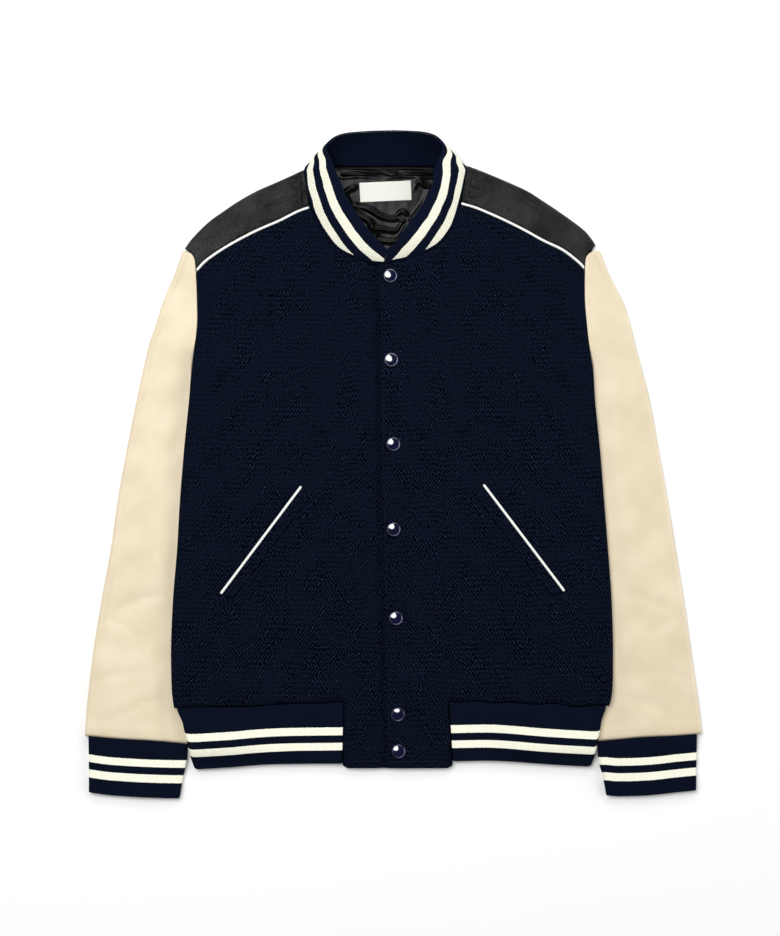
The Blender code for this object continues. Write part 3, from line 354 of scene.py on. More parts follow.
def quadsOf(index):
    return np.stack([index[:-1, :-1], index[:-1, 1:], index[1:, 1:], index[1:, :-1]], axis=2)


def gridFaces(rows, columns, outward=1, kept=None):
    quads = quadsOf(numbered(rows, columns))
    quads = quads.reshape(-1, 4) if kept is None else quads[kept]
    return quads[:, ::outward]


def register(obj, words=""):    # puts the piece under the root body and hides the imported part of that name; the cloth tables' cut entries (width, length and area of its cloth, m) are not read
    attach(obj, "root")
    if words:
        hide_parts(words.replace(" ", "_"))


def sheetOf(words, grid, wall, look, outward=1, kept=None, uv=None):
    faces = gridFaces(*grid.shape[:2], outward, kept)
    if uv is None:
        up, _, along, _ = edgeDistances(grid)
        uv = np.stack([along, up], axis=2)
    used, faces = np.unique(faces, return_inverse=True)
    material, slot = looks[look]
    obj = makeObject(words, grid.reshape(-1, 3)[used], faces.reshape(-1, 4).tolist(), material,
                     uv.reshape(-1, 2)[used])
    solid = obj.modifiers.new("wall", "SOLIDIFY")
    solid.thickness = wall * mm
    solid.offset = -1.0
    register(obj, words)


def gridNormals(grid, closed=False):
    if closed:
        across = np.roll(grid, -1, axis=1) - np.roll(grid, 1, axis=1)
    else:
        across = np.gradient(grid, axis=1)
    return unit(np.cross(across, np.gradient(grid, axis=0)))


def ribShares(length):    # places along a band, with 0 on a rib's crest and 1 in its valley
    count = max(4, round(length / ribKnit["pitch"]))
    shares = np.linspace(0, 1, count * ribKnit["perRib"] + 1)
    return shares, (0.5 - 0.5 * np.cos(2 * math.pi * count * shares)) ** 1.5


def ribbed(middle, away, flip, closed=False):    # a band's grid with points for each rib
    middle, away = np.array(middle), np.array(away)
    if closed:
        middle, away = (np.concatenate([rows, rows[:, :1]], axis=1) for rows in (middle, away))
    at = fractions(middle[0])
    wanted, phase = ribShares(travelled(middle[0])[-1])
    if closed:
        wanted, phase = wanted[:-1], phase[:-1]
    middle = np.array([readAt(wanted, at, row) for row in middle])
    away = np.array([np.interp(wanted, at, row) for row in away])
    if flip:
        middle, away, phase = middle[:, ::-1], away[:, ::-1], phase[::-1]
    return middle, away, phase


def ribBand(words, kind, middle, away, phase, fromSeam, closed=False,
            plainFace=None, node=None):
    # middle: grid of the band's middle surface, row 0 at its folded edge; both faces get ribs
    normal = gridNormals(middle, closed)
    columns = middle.shape[1]
    half = ribKnit["wall"] / 2 - ribKnit["depth"] * phase[None, :, None]
    outer, inner = middle + normal * half, middle - normal * half
    edge = unit(middle[0] - middle[1])
    rounds = [middle[0] + half[0] * (math.sin(turn) * normal[0] + math.cos(turn) * edge)
              for turn in np.radians((60, 30, 0, -30, -60))]
    loop = np.concatenate([outer[::-1], np.array(rounds), inner])
    shift = {face: 200 if face == plainFace else 0 for face in ("outer", "inner")}
    down = np.concatenate([away[::-1] + shift["outer"], np.zeros((5, columns)),
                           away + shift["inner"]])
    seamAway = np.concatenate([fromSeam[::-1], np.full((5, columns), 99.0), fromSeam])
    index = numbered(len(loop), columns, closed)
    seam = np.stack([index[0, :-1], index[0, 1:], index[-1, 1:], index[-1, :-1]], axis=1)
    faces = quadsOf(index)[..., ::-1].reshape(-1, 4).tolist() + seam.tolist()
    for end, turn in () if closed else ((0, -1), (columns - 1, 1)):
        ring = index[:, end]
        for k in range(len(ring) // 2):
            quad = [ring[k], ring[k + 1], ring[-2 - k], ring[-1 - k]]
            quad = list(dict.fromkeys(int(q) for q in quad))
            if len(quad) > 2:
                faces.append(quad[::turn])
    uv = np.stack([np.broadcast_to(travelled(middle[0]), down.shape), down], axis=2)
    obj = makeObject(words, loop.reshape(-1, 3), faces, ribs[kind], uv.reshape(-1, 2))
    layer = obj.data.attributes.new("fromSeam", "FLOAT", "POINT")
    layer.data.foreach_set("value", (seamAway * mm).ravel())
    register(obj, node or words)


def threadRow(words, places, thread, material):    # places: dense points of the seam line
    at, total = fractions(places), travelled(places)[-1]
    pitch = thread["length"] + thread["gap"]
    stops = np.array((0, 0.2, 0.5, 0.8, 1)) * thread["length"]
    points, faces = [], []
    for k in range(max(1, int(total / pitch))):
        line = readAt((k * pitch + thread["gap"] / 2 + stops) / total, at, places)
        along = unit(line[-1] - line[0])
        aside = unit(np.cross(along, (0, 0, 1.0)))
        up = np.cross(aside, along)
        base = len(points)
        for place, size, sink in zip(line, (0.45, 0.9, 1, 0.9, 0.45), (0.5, 0.1, 0, 0.1, 0.5)):
            for turn in np.radians(range(0, 360, 60)):
                ring = aside * math.cos(turn) + up * math.sin(turn)
                points.append(place + (ring * size - up * sink) * thread["radius"])
        faces += (quadsOf(numbered(5, 6, True)).reshape(-1, 4) + base).tolist()
        faces += [list(range(base, base + 6))[::-1], list(range(base + 24, base + 30))]
    return makeObject(words, points, faces, material)


# Materials: node helpers first, then the effects that several finishes share.

def nodeOf(tree, kind, inputs=None, **settings):
    made = tree.nodes.new(kind)
    for key, value in settings.items():
        setattr(made, key, value)
    for key, value in (inputs or {}).items():
        if hasattr(value, "is_output"):
            tree.links.new(value, made.inputs[key])
        else:
            made.inputs[key].default_value = value
    return made


def maths(tree, operation, *given):
    made = nodeOf(tree, "ShaderNodeMath", dict(enumerate(given)), operation=operation)
    return made.outputs[0]


def clamped(tree, value):
    return nodeOf(tree, "ShaderNodeClamp", {0: value}).outputs[0]


def noise(tree, place, scale, detail=2.0, output="Fac", **inputs):
    return nodeOf(tree, "ShaderNodeTexNoise", {"Vector": place, "Scale": scale, "Detail": detail,
                                               **inputs}).outputs[output]


def vectors(tree, operation, *given):
    made = nodeOf(tree, "ShaderNodeVectorMath", dict(enumerate(given)), operation=operation)
    return made.outputs["Value" if operation == "DOT_PRODUCT" else "Vector"]


def mapped(tree, value, *ends, **settings):    # ends: range read, then range that comes out
    made = nodeOf(tree, "ShaderNodeMapRange", dict(enumerate((value, *ends))), **settings)
    return made.outputs[0]


def upDown(tree, place):    # how far along its second axis a place lies
    return nodeOf(tree, "ShaderNodeSeparateXYZ", {0: place}).outputs["Y"]


def effectGroup(name, **inputs):    # takes a place and these numbers
    tree = bpy.data.node_groups.new(name, "ShaderNodeTree")
    tree.interface.new_socket("Place", in_out="INPUT", socket_type="NodeSocketVector")
    for label, value in inputs.items():
        socket = tree.interface.new_socket(label, in_out="INPUT", socket_type="NodeSocketFloat")
        socket.default_value = value
    given = tree.nodes.new("NodeGroupInput").outputs
    return tree, given, given["Place"]


def effectOf(tree, **values):    # puts out these values under their names
    for label in values:
        tree.interface.new_socket(label, in_out="OUTPUT", socket_type="NodeSocketFloat")
    out = tree.nodes.new("NodeGroupOutput").inputs
    for label, value in values.items():
        tree.links.new(value, out[label])
    return tree


def twillEffect():    # three crossing sets of diagonal floats, dotted where they meet
    tree, given, place = effectGroup("twillWeave", Size=1.0, Contrast=1.6, Fuzz=0.4, Ground=0.5)
    drift = noise(tree, place, 95.0, 3.0, "Color")
    bent = vectors(tree, "MULTIPLY_ADD", drift, (0.0085,) * 3, place)
    weave = 0.5
    for along, up, strength in ((250, 172, 0.20), (245, 350, 0.25), (276, -172, 0.19)):
        phase = vectors(tree, "DOT_PRODUCT", bent, (2 * math.pi * along, 2 * math.pi * up, 0))
        wave = maths(tree, "SINE", maths(tree, "DIVIDE", phase, given["Size"]))
        weave = maths(tree, "MULTIPLY_ADD", wave, strength, weave)
    fibre = maths(tree, "SUBTRACT", noise(tree, place, 900.0, 3.0), 0.5)
    height = maths(tree, "ADD", weave, maths(tree, "MULTIPLY", fibre, given["Fuzz"]))
    # Shade turns the weave's relief into colour: painted shade where the floats lie low, painted
    # light where they stand up
    above = maths(tree, "SUBTRACT", height, given["Ground"])
    shade = maths(tree, "MULTIPLY_ADD", above, given["Contrast"], 0.5)
    clear = mapped(tree, noise(tree, place, 34.0), 0.36, 0.62, 0.45, 1.15)
    usual = 0.29    # shade that the softer patches keep
    dashes = maths(tree, "SUBTRACT", clamped(tree, shade), usual)
    return effectOf(tree, Height=height, Shade=maths(tree, "MULTIPLY_ADD", dashes, clear, usual))


def grainEffect():    # leather pebbles with creases between them
    tree, given, place = effectGroup("hideGrain", Scale=700.0, Pores=0.4)
    bent = noise(tree, place, 260.0, output="Color")
    moved = vectors(tree, "MULTIPLY_ADD", bent, (0.0016,) * 3, place)
    cells = nodeOf(tree, "ShaderNodeTexVoronoi", {"Vector": moved, "Scale": given["Scale"]},
                   feature="DISTANCE_TO_EDGE").outputs["Distance"]
    pebble = mapped(tree, cells, 0.0, 0.22, interpolation_type="SMOOTHSTEP")
    pores = maths(tree, "MULTIPLY", noise(tree, place, 1500.0), given["Pores"])
    return effectOf(tree, Height=maths(tree, "ADD", pebble, pores),
                    Patches=mapped(tree, noise(tree, place, 26.0, 4.0), 0.32, 0.68))


def knitEffect():    # stitches along each rib
    tree, given, place = effectGroup("ribKnit", Stitch=0.0022)
    wander = noise(tree, place, 160.0, 1.0)
    row = maths(tree, "MULTIPLY_ADD", wander, 0.0016, upDown(tree, place))
    turns = maths(tree, "DIVIDE", 2 * math.pi, given["Stitch"])
    loops = maths(tree, "SINE", maths(tree, "MULTIPLY", row, turns))
    height = maths(tree, "MULTIPLY_ADD", loops, 0.22, noise(tree, place, 1100.0))
    # Shade is the stitch height used as colour: painted shade in the hollows between loops, painted
    # light on their tops
    return effectOf(tree, Height=height, Shade=clamped(tree, height))


def wearEffect():    # broad uneven fading and fine lint
    tree, given, place = effectGroup("softWear", Spread=9.0)
    return effectOf(tree, Fade=noise(tree, place, given["Spread"], 4.0, Roughness=0.6),
                    Lint=mapped(tree, noise(tree, place, 420.0), 0.68, 0.8))


effects = {"twill": twillEffect(), "grain": grainEffect(), "knit": knitEffect(),
           "wear": wearEffect()}


def startMaterial(name, specular, constants=None):
    made = bpy.data.materials.new(name)
    made.use_nodes = True
    shader = made.node_tree.nodes["Principled BSDF"]
    shader.inputs["Specular IOR Level"].default_value = specular
    for socket, value in (constants or {}).items():
        shader.inputs[socket].default_value = value
    return made, made.node_tree


def finished(made, colour, rough, bump):    # rough: mask and range; bump: height, strength, depth
    tree = made.node_tree
    height, strength, depth = bump
    normal = nodeOf(tree, "ShaderNodeBump", {"Height": height, "Strength": strength,
                                             "Distance": depth * mm}).outputs[0]
    mask, low, high = rough
    into = tree.nodes["Principled BSDF"].inputs
    tree.links.new(colour, into["Base Color"])
    tree.links.new(mapped(tree, mask, 0.0, 1.0, low, high), into["Roughness"])
    tree.links.new(normal, into["Normal"])
    return made


def effectIn(tree, effect, place, **inputs):
    return nodeOf(tree, "ShaderNodeGroup", {"Place": place, **inputs},
                  node_tree=effects[effect]).outputs


def clothPlace(tree):    # lengths along and across a piece, from its UV map
    return nodeOf(tree, "ShaderNodeUVMap", uv_map="cloth").outputs[0]


def spacePlace(tree):
    return nodeOf(tree, "ShaderNodeTexCoord").outputs["Object"]


def mixColour(tree, factor, first, second):
    opaque = [tone if hasattr(tone, "is_output") else (*tone, 1) for tone in (first, second)]
    return nodeOf(tree, "ShaderNodeMix", {0: factor, 6: opaque[0], 7: opaque[1]},
                  data_type="RGBA").outputs[2]


finishes = {
    "wool": {"dark": (0.0001, 0.0004, 0.0016), "light": (0.0112, 0.0180, 0.0392), "size": 1.0,
             "contrast": 3.6, "fuzz": 0.5, "ground": 0.68, "bump": (0.6, 0.6),
             "roughness": (0.97, 0.86), "specular": 0.005},
    "shoulder": {"dark": (0.001, 0.0016, 0.0013), "light": (0.0185, 0.0206, 0.0182),
                 "grain": 620.0, "bump": (0.7, 0.5), "roughness": (0.20, 0.33), "specular": 0.20},
    "sleeve": {"dark": (0.680, 0.578, 0.410), "light": (0.752, 0.648, 0.474),
               "grain": 900.0, "bump": (0.10, 0.22), "roughness": (0.40, 0.54),
               "specular": 0.4},
    "rib": {"navy": ((0.0013, 0.0027, 0.0088), (0.0048, 0.0077, 0.0190)),
            "cream": ((0.82, 0.81, 0.66), (0.96, 0.95, 0.82)),
            # lift: the collar's navy is a lighter copy of the same knit's navy, painted sheen where
            # the standing collar catches the light
            "lift": {"hem": 1.0, "cuff": 1.0, "collar": 1.3}, "bump": (0.45, 0.35), "clear": 3.6},
    "satin": {"dark": (0.0014, 0.0015, 0.0013), "light": (0.0038, 0.0040, 0.0036),
              "threads": 3200.0, "roughness": (0.13, 0.24)},
    "trim": ((0.82, 0.83, 0.79), (0.90, 0.91, 0.87)),
    "label": ((0.73, 0.74, 0.68), (0.79, 0.80, 0.74)),
    "thread": {"navy": ((0.0025, 0.0040, 0.0095), (0.0065, 0.0095, 0.0200)),
               "cream": ((0.66, 0.56, 0.38), (0.78, 0.68, 0.50))},
    "enamel": {"tones": ((0.0006, 0.0018, 0.0190), (0.0012, 0.0034, 0.0300)),
               "metallic": 0.0, "coat": 1.0, "roughness": (0.08, 0.14)},
    "metal": {"tones": ((0.05, 0.055, 0.085), (0.10, 0.10, 0.15)),
              "metallic": 1.0, "coat": 0.0, "roughness": (0.24, 0.36)}}
# Stripes: distances from the folded edge where each one starts and ends
stripes = {"hem": ((15.7, 24.4), (33.1, 42.3)), "cuff": ((18.0, 27.3), (36.0, 44.7)),
           "collar": ((10.0, 18.5), (25.5, 33.5))}


def woolMaterial():
    use = finishes["wool"]
    made, tree = startMaterial("woolTwill", use["specular"])
    weave = effectIn(tree, "twill", clothPlace(tree), Size=use["size"],
                     Contrast=use["contrast"], Fuzz=use["fuzz"], Ground=use["ground"])
    wear = effectIn(tree, "wear", spacePlace(tree), Spread=8.0)
    # dark and light follow the twill Shade: painted shade and painted light of the weave's relief
    tone = mixColour(tree, weave["Shade"], use["dark"], use["light"])
    worn = mixColour(tree, maths(tree, "MULTIPLY", wear["Fade"], 0.06), tone, use["light"])
    return finished(made, worn, (weave["Shade"], *use["roughness"]),
                    (weave["Height"], *use["bump"]))


def hideMaterial(kind):
    use = finishes[kind]
    made, tree = startMaterial(kind + "Leather", use["specular"])
    grain = effectIn(tree, "grain", spacePlace(tree), Scale=use["grain"], Pores=0.5)
    wear = effectIn(tree, "wear", spacePlace(tree), Spread=14.0)
    tone = mixColour(tree, grain["Patches"], use["dark"], use["light"])
    dusty = mixColour(tree, maths(tree, "MULTIPLY", wear["Lint"], 0.12), tone, use["light"])
    return finished(made, dusty, (wear["Fade"], *use["roughness"]),
                    (grain["Height"], *use["bump"]))


def ribMaterial(kind):
    use = finishes["rib"]
    made, tree = startMaterial(kind + "Rib", 0.02)
    place = clothPlace(tree)
    knit = effectIn(tree, "knit", place)
    ripple = maths(tree, "SUBTRACT", noise(tree, place, 700.0), 0.5)
    away = maths(tree, "MULTIPLY_ADD", ripple, 0.0009, upDown(tree, place))
    mask = 0.0
    for start, end in stripes[kind]:
        beside = maths(tree, "ABSOLUTE", maths(tree, "SUBTRACT", away, (start + end) / 2 * mm))
        inside = maths(tree, "LESS_THAN", beside, (end - start) / 2 * mm)
        mask = maths(tree, "MAXIMUM", mask, inside)
    fromSeam = nodeOf(tree, "ShaderNodeAttribute", attribute_name="fromSeam").outputs["Fac"]
    shown = maths(tree, "GREATER_THAN", fromSeam, use["clear"] * mm)
    # the collar's lift paints sheen into its navy
    navy = mixColour(tree, knit["Shade"], *[[use["lift"][kind] * part for part in tone]
                                            for tone in use["navy"]])
    # both tones follow the knit Shade: painted shade between the loops
    cream = mixColour(tree, knit["Shade"], *use["cream"])
    striped = mixColour(tree, maths(tree, "MULTIPLY", mask, shown), navy, cream)
    return finished(made, striped, (knit["Shade"], 0.95, 0.85), (knit["Height"], *use["bump"]))


def satinMaterial():
    use = finishes["satin"]
    made, tree = startMaterial("liningSatin", 0.11)
    stretched = vectors(tree, "MULTIPLY", clothPlace(tree), (0.12, 1.0, 1.0))
    floats = noise(tree, stretched, use["threads"], 1.0)
    wear = effectIn(tree, "wear", spacePlace(tree), Spread=20.0)
    return finished(made, mixColour(tree, floats, use["dark"], use["light"]),
                    (wear["Fade"], *use["roughness"]), (floats, 0.06, 0.1))


def trimMaterial(name, tones):
    made, tree = startMaterial(name, 0.3)
    knit = effectIn(tree, "knit", clothPlace(tree), Stitch=0.0009)
    # the tones follow the knit Shade: painted shade between the loops
    return finished(made, mixColour(tree, knit["Shade"], *tones), (knit["Shade"], 0.85, 0.7),
                    (knit["Height"], 0.35, 0.15))


def threadMaterial(tone):
    made, tree = startMaterial(tone + "Thread", 0.15)
    ply = noise(tree, spacePlace(tree), 1800.0)
    return finished(made, mixColour(tree, ply, *finishes["thread"][tone]), (ply, 0.55, 0.8),
                    (ply, 0.4, 0.15))


def capMaterial(name, use):
    made, tree = startMaterial(name, 1.0, {
        "Metallic": use["metallic"], "Coat Weight": use["coat"],
        "Coat Roughness": 0.04, "Coat IOR": 1.7})
    wear = effectIn(tree, "wear", spacePlace(tree), Spread=160.0)
    return finished(made, mixColour(tree, wear["Fade"], *use["tones"]),
                    (wear["Fade"], *use["roughness"]), (wear["Fade"], 0.05, 0.05))


looks = {"wool": (woolMaterial(), "wool"), "satin": (satinMaterial(), "satin"),
         "shoulder": (hideMaterial("shoulder"), "shoulder_leather"),
         "sleeve": (hideMaterial("sleeve"), "sleeve_leather"),
         "label": (trimMaterial("labelWeave", finishes["label"]), "white_trim")}
ribs = {kind: ribMaterial(kind) for kind in stripes}
trim = trimMaterial("whiteTrim", finishes["trim"])
threads = {tone: threadMaterial(tone) for tone in finishes["thread"]}
enamel = capMaterial("snapEnamel", finishes["enamel"])
metal = capMaterial("snapMetal", finishes["metal"])
print("materials made")


def rollDown(distance, width, depth):    # rounding of the cloth towards an edge or seam
    return depth * np.clip(1 - distance / width, 0, 1) ** 2


def stitchGroove(distance, at, depth=0.45, width=1.0):
    return depth * hump(distance, at, width)


def sideAngle(y, folded=armhole["fold"]):
    return armhole["butt"] + (folded - armhole["butt"]) \
        * ease(armhole["low"], armhole["folded"], y)


def withSideFold(grid, side, atEnd, down, steps=8):    # the wall's turn at the side seam
    radius = heights["body"] / 2
    x, y, z = grid[:, -1 if atEnd else 0].T
    angle = sideAngle(y)
    strip = []
    for share in np.linspace(1 / steps, 1, steps):
        turn = angle * share
        strip.append(np.column_stack([x + side * radius * np.sin(turn), y,
                                      z - down * radius * (1 - np.cos(turn))]))
    strip = np.array(strip).transpose(1, 0, 2)
    if atEnd:
        return np.concatenate([grid, strip], axis=1)
    return np.concatenate([strip[:, ::-1], grid], axis=1)


pipingCord = {"radius": 1.45, "spacing": 0.7, "sink": 0.1, "room": 1.7}
frontCloth = {"spacing": 2.6, "edgeRoll": 1.3, "placketStitch": 6.0, "tabStitch": 8.0,
              "seamRoll": 0.9, "seamWidth": 3.5, "undulation": 0.30, "corner": 6.0, "neckTuck": 1.3,
              "cut": {right: (0.285, 0.665, 0.146), left: (0.270, 0.675, 0.145)}}


def bodySide(side, low, high, count):
    levels = np.linspace(low, high, count)
    out = bodyReach(side, levels) - heights["body"] / 2 * np.sin(sideAngle(levels))
    return np.column_stack([side * out, levels])


def neckLevel(side, x):
    near = sorted(neckLines[side][:4])
    return float(np.interp(x, [p[0] for p in near], [p[1] for p in near])) - seamGap


def frontPlan(side):
    use = frontCloth
    room = pipingCord["room"] + 0.1
    pipingEdge = shifted(traceEven(pipingLines[side], use["spacing"]), side * -room)
    neckEdge = shifted(traceEven(neckLines[side], use["spacing"]), side * use["neckTuck"])
    neckEdge = neckEdge[neckEdge[:, 0] * side < pipingEdge[0, 0] * side - 1]
    start = lap["dipStart"] if side == right else 0.0
    endX = tableAt(placketEdge, 232.0) - start
    neckEdge = neckEdge[neckEdge[:, 0] * side > endX * side + 2]
    top = np.vstack([[endX, neckLevel(side, endX)], neckEdge, pipingEdge])
    rows = round(bodyLength / use["spacing"])
    outer = bodySide(side, tableAt(hemSeam, side * 252) + seamGap, top[-1, 1] - 1.0, rows)
    top[-1] = outer[-1]
    centreY = tab["seam"] + fractions(outer) * (top[0, 1] - tab["seam"])
    centre = np.column_stack([tableAt(placketEdge, centreY) - start, centreY])
    centre[-1] = top[0]
    share = np.abs(top[:, 0] - top[0, 0]) / abs(top[-1, 0] - top[0, 0])
    bottomX = centre[0, 0] + share * (outer[0, 0] - centre[0, 0])
    tabX = side * tab["out"][side]
    corner = int(np.argmin(np.abs(bottomX - tabX)))
    bottomX[corner] = tabX
    bottom = np.column_stack([bottomX, smoothTable(hemSeam, 1, bottomX) + seamGap / 2])
    bottom[0], bottom[-1] = centre[0], outer[0]
    plan = fill(bottom, top, centre, outer)
    if side == right:
        plan, corner = withUnderlap(plan), corner + 10
    return plan, corner


def withUnderlap(plan):
    share = np.linspace(0, 1, len(plan))
    y = plan[:, 0, 1] - share * (plan[-1, 0, 1] - neckLevel(right, 0.0))
    edge = tableAt(placketEdge, y)
    columns = [lap["underlap"] * (1 - t) + (edge + 1) * t for t in (0, 0.33, 0.66)]
    columns += [edge - inside for inside in (-1.0, 0.5, 3.0, 5.5, 7.0, 8.2, 8.9)]
    return np.concatenate([np.dstack([np.column_stack(columns), np.tile(y, (10, 1)).T]), plan],
                          axis=1)


def seamWave(x):    # uneven line where the wool bags over the hem rib
    beyond = np.where(x < 0, -x - tab["out"][right], x - tab["out"][left])
    return 2.2 * softNoise(x, 0 * x, 36, 6) * ease(3, 14, beyond)


def tabPlan(side, topRow, corner):    # rows below the hem seam, with a rounded corner
    use = frontCloth
    count = round((topRow[0, 1] - tab["bottom"]) / use["spacing"])
    rows = []
    for down in np.linspace(1, 0, count + 1)[:-1]:
        row = topRow.copy()
        row[:, 1] += down * (tab["bottom"] - topRow[:, 1])
        above = (1 - down) * (topRow[0, 1] - tab["bottom"])
        inset = use["corner"] - math.sqrt(max(0, use["corner"] ** 2
                                              - max(0, use["corner"] - above) ** 2))
        share = np.clip((topRow[:, 0] - topRow[0, 0])
                        / (topRow[corner, 0] - topRow[0, 0]), 0, 1)
        row[:, 0] += side * (tab["flare"][side] * down * share ** 3 - inset * ease(0.7, 1, share))
        if side == left:
            edge = tableAt(placketEdge, row[0, 1]) + inset * 0.5
            row[:, 0] += (edge - row[0, 0]) * (1 - share)
        rows.append(row)
    return np.array(rows)


def makeFront(side):
    use = frontCloth
    plan, corner = frontPlan(side)
    tabRows = tabPlan(side, plan[0], corner)
    count = len(tabRows)
    plan = np.concatenate([tabRows, plan])
    x, y = plan[..., 0], plan[..., 1]
    fromSeam = y - smoothTable(hemSeam, 1, x)
    y += np.where(fromSeam > -1, seamWave(x) * hump(fromSeam, 0, 14), 0)
    _, fromTop, fromStart, _ = edgeDistances(plan)
    z = frontHeights[side](x, y)
    fromTab = np.abs(x - plan[:, corner:corner + 1, 0])
    fromHem = np.where(np.abs(x) > abs(plan[count, corner, 0]), np.maximum(fromSeam, 0), 99)
    z -= rollDown(fromTop, use["seamWidth"], use["seamRoll"])
    z -= rollDown(fromHem, use["seamWidth"], use["seamRoll"] * 1.8)
    z += 0.9 * hump(fromHem, 7, 5) * (0.6 + 0.8 * softNoise(x, y, 24, 3))
    z -= np.where(y < tab["seam"] + 1, rollDown(fromTab, 2.2, 1.0), 0)
    z -= rollDown(y - tab["bottom"], 2.4, 1.1) + stitchGroove(y - tab["bottom"], use["tabStitch"])
    if side == left:
        z -= rollDown(fromStart, 1.8, use["edgeRoll"])
        z -= stitchGroove(fromStart, use["placketStitch"])
    z += use["undulation"] * softNoise(x, y, 85, side + 2) + 0.12 * softNoise(x, y, 31, side + 4)
    grid = withSideFold(np.dstack([x, y, z]), side, True, 1)
    kept = np.ones((grid.shape[0] - 1, grid.shape[1] - 1), bool)
    kept[:count, corner:] = False
    sheetOf("front " + sideNames[side], grid, walls["wool"], "wool",
            side, kept)
    return grid


backCloth = {"spacing": 5.0, "neck": 345.3, "undulation": 0.5, "cut": (0.530, 0.640, 0.280)}


def makeBack():
    use = backCloth
    room = pipingCord["room"] + 0.2
    rightLine = shifted(traceEven(backPipingLines[right], use["spacing"]), room)
    leftLine = shifted(traceEven(backPipingLines[left], use["spacing"]), -room)
    neck = np.column_stack([np.linspace(rightLine[0, 0] + 4, leftLine[0, 0] - 4, 22),
                            np.full(22, use["neck"])])
    rows = round(bodyLength / use["spacing"])
    sides = {side: bodySide(side, tableAt(hemSeam, side * 252) + seamGap, line[-1, 1] - 1.5,
                            rows) for side, line in ((right, rightLine), (left, leftLine))}
    top = np.vstack([rightLine[::-1], neck, leftLine])
    top[0], top[-1] = sides[right][-1], sides[left][-1]
    share = (top[:, 0] - top[0, 0]) / (top[-1, 0] - top[0, 0])
    bottomX = sides[right][0, 0] + share * (sides[left][0, 0] - sides[right][0, 0])
    bottom = np.column_stack([bottomX, smoothTable(hemSeam, 1, bottomX) + seamGap / 2])
    bottom[0], bottom[-1] = sides[right][0], sides[left][0]
    plan = fill(bottom, top, sides[right], sides[left])
    x, y = plan[..., 0], plan[..., 1]
    z = lift(x, y) + use["undulation"] * np.maximum(softNoise(x, y, 120, 9), 0)
    z += rollDown(y - smoothTable(hemSeam, 1, x), 4, 0.8) + creases(backFolds, x, y)
    grid = withSideFold(np.dstack([x, y, z]), left, True, -1)
    grid = withSideFold(grid, right, False, -1)
    sheetOf("back panel", grid, walls["wool"], "wool", outward=-1)


# Hollows under the back: x, y at both ends, half-width, depth
backFolds = (
    (-120.0, 180.0, -60.0, 60.0, 14.0, 0.9), (110.0, 190.0, 60.0, 40.0, 15.0, 0.9),
    (-70.0, -215.0, -58.0, -272.0, 7.0, 0.9), (10.0, -225.0, 16.0, -272.0, 6.0, 0.8),
    (84.0, -212.0, 70.0, -272.0, 8.0, 0.9), (-150.0, -232.0, -142.0, -274.0, 6.0, 0.7),
    (150.0, -230.0, 146.0, -274.0, 6.0, 0.7), (-30.0, 250.0, 40.0, 214.0, 12.0, 0.6),
)

hemCloth = {"rows": 18, "endTurn": 20, "corner": 2.4, "low": -350, "height": 68,
            "cut": {right: (0.197, 0.072, 0.0135), left: (0.187, 0.072, 0.0128),
                    None: (0.515, 0.072, 0.0355)}}


def makeHem(side):    # side None makes the back stretch
    use, isBack = hemCloth, side is None
    radius = heights["hem"] / 2
    inside = radius - walls["rib"] / 2
    rows, away = [], []
    for share in [0.022, *np.linspace(0.05, 1, use["rows"])]:
        level = use["low"] + share * use["height"]
        line = []
        for end in (left, right) if isBack else (side,):
            edge = float(reachAt(hemEdge, end, level))
            start = 0.0
            if not isBack:
                start = tab["out"][side] + seamGap + tab["flare"][side] * (1 - share)
            turns = np.radians(np.linspace(90, use["endTurn"], 12))[1:]
            out = np.append(np.linspace(start, edge - radius, 80),
                            edge - radius + inside * np.cos(turns))
            up = np.append(np.full(80, inside), inside * np.sin(turns))
            line.append(np.column_stack([end * out, radius - up if isBack else radius + up]))
        x, z = (np.vstack([line[1][::-1], line[0][1:]]) if isBack else line[0]).T
        low, high = smoothTable(hemBottom, 1, x), smoothTable(hemSeam, 1, x) - seamGap / 2
        if not isBack:
            high = high + seamWave(x)
        edge = np.where(x < 0, reachAt(hemEdge, right, level), reachAt(hemEdge, left, level))
        low = low + use["corner"] * ease(6, 0, edge - np.abs(x)) ** 2
        y = low + share * (high - low)
        sag = 0.35 * softNoise(x, y, 60, 5)
        sag = sag + 0.5 * softNoise(x, y * 0.3, 26, 8) * ease(0.3, 1, share)
        z = z + lift(x, y) + (np.maximum(sag, 0) * 0.6 if isBack else sag)
        rows.append(np.column_stack([x, y, z]))
        away.append(y - low)
    middle, away, phase = ribbed(rows, away, side != left)
    ribBand("hem rib " + ("back" if isBack else sideNames[side]), "hem", middle, away, phase,
            use["height"] - away)


cuffCloth = {"rows": 17, "height": 66, "cut": (0.236, 0.068, 0.0155)}


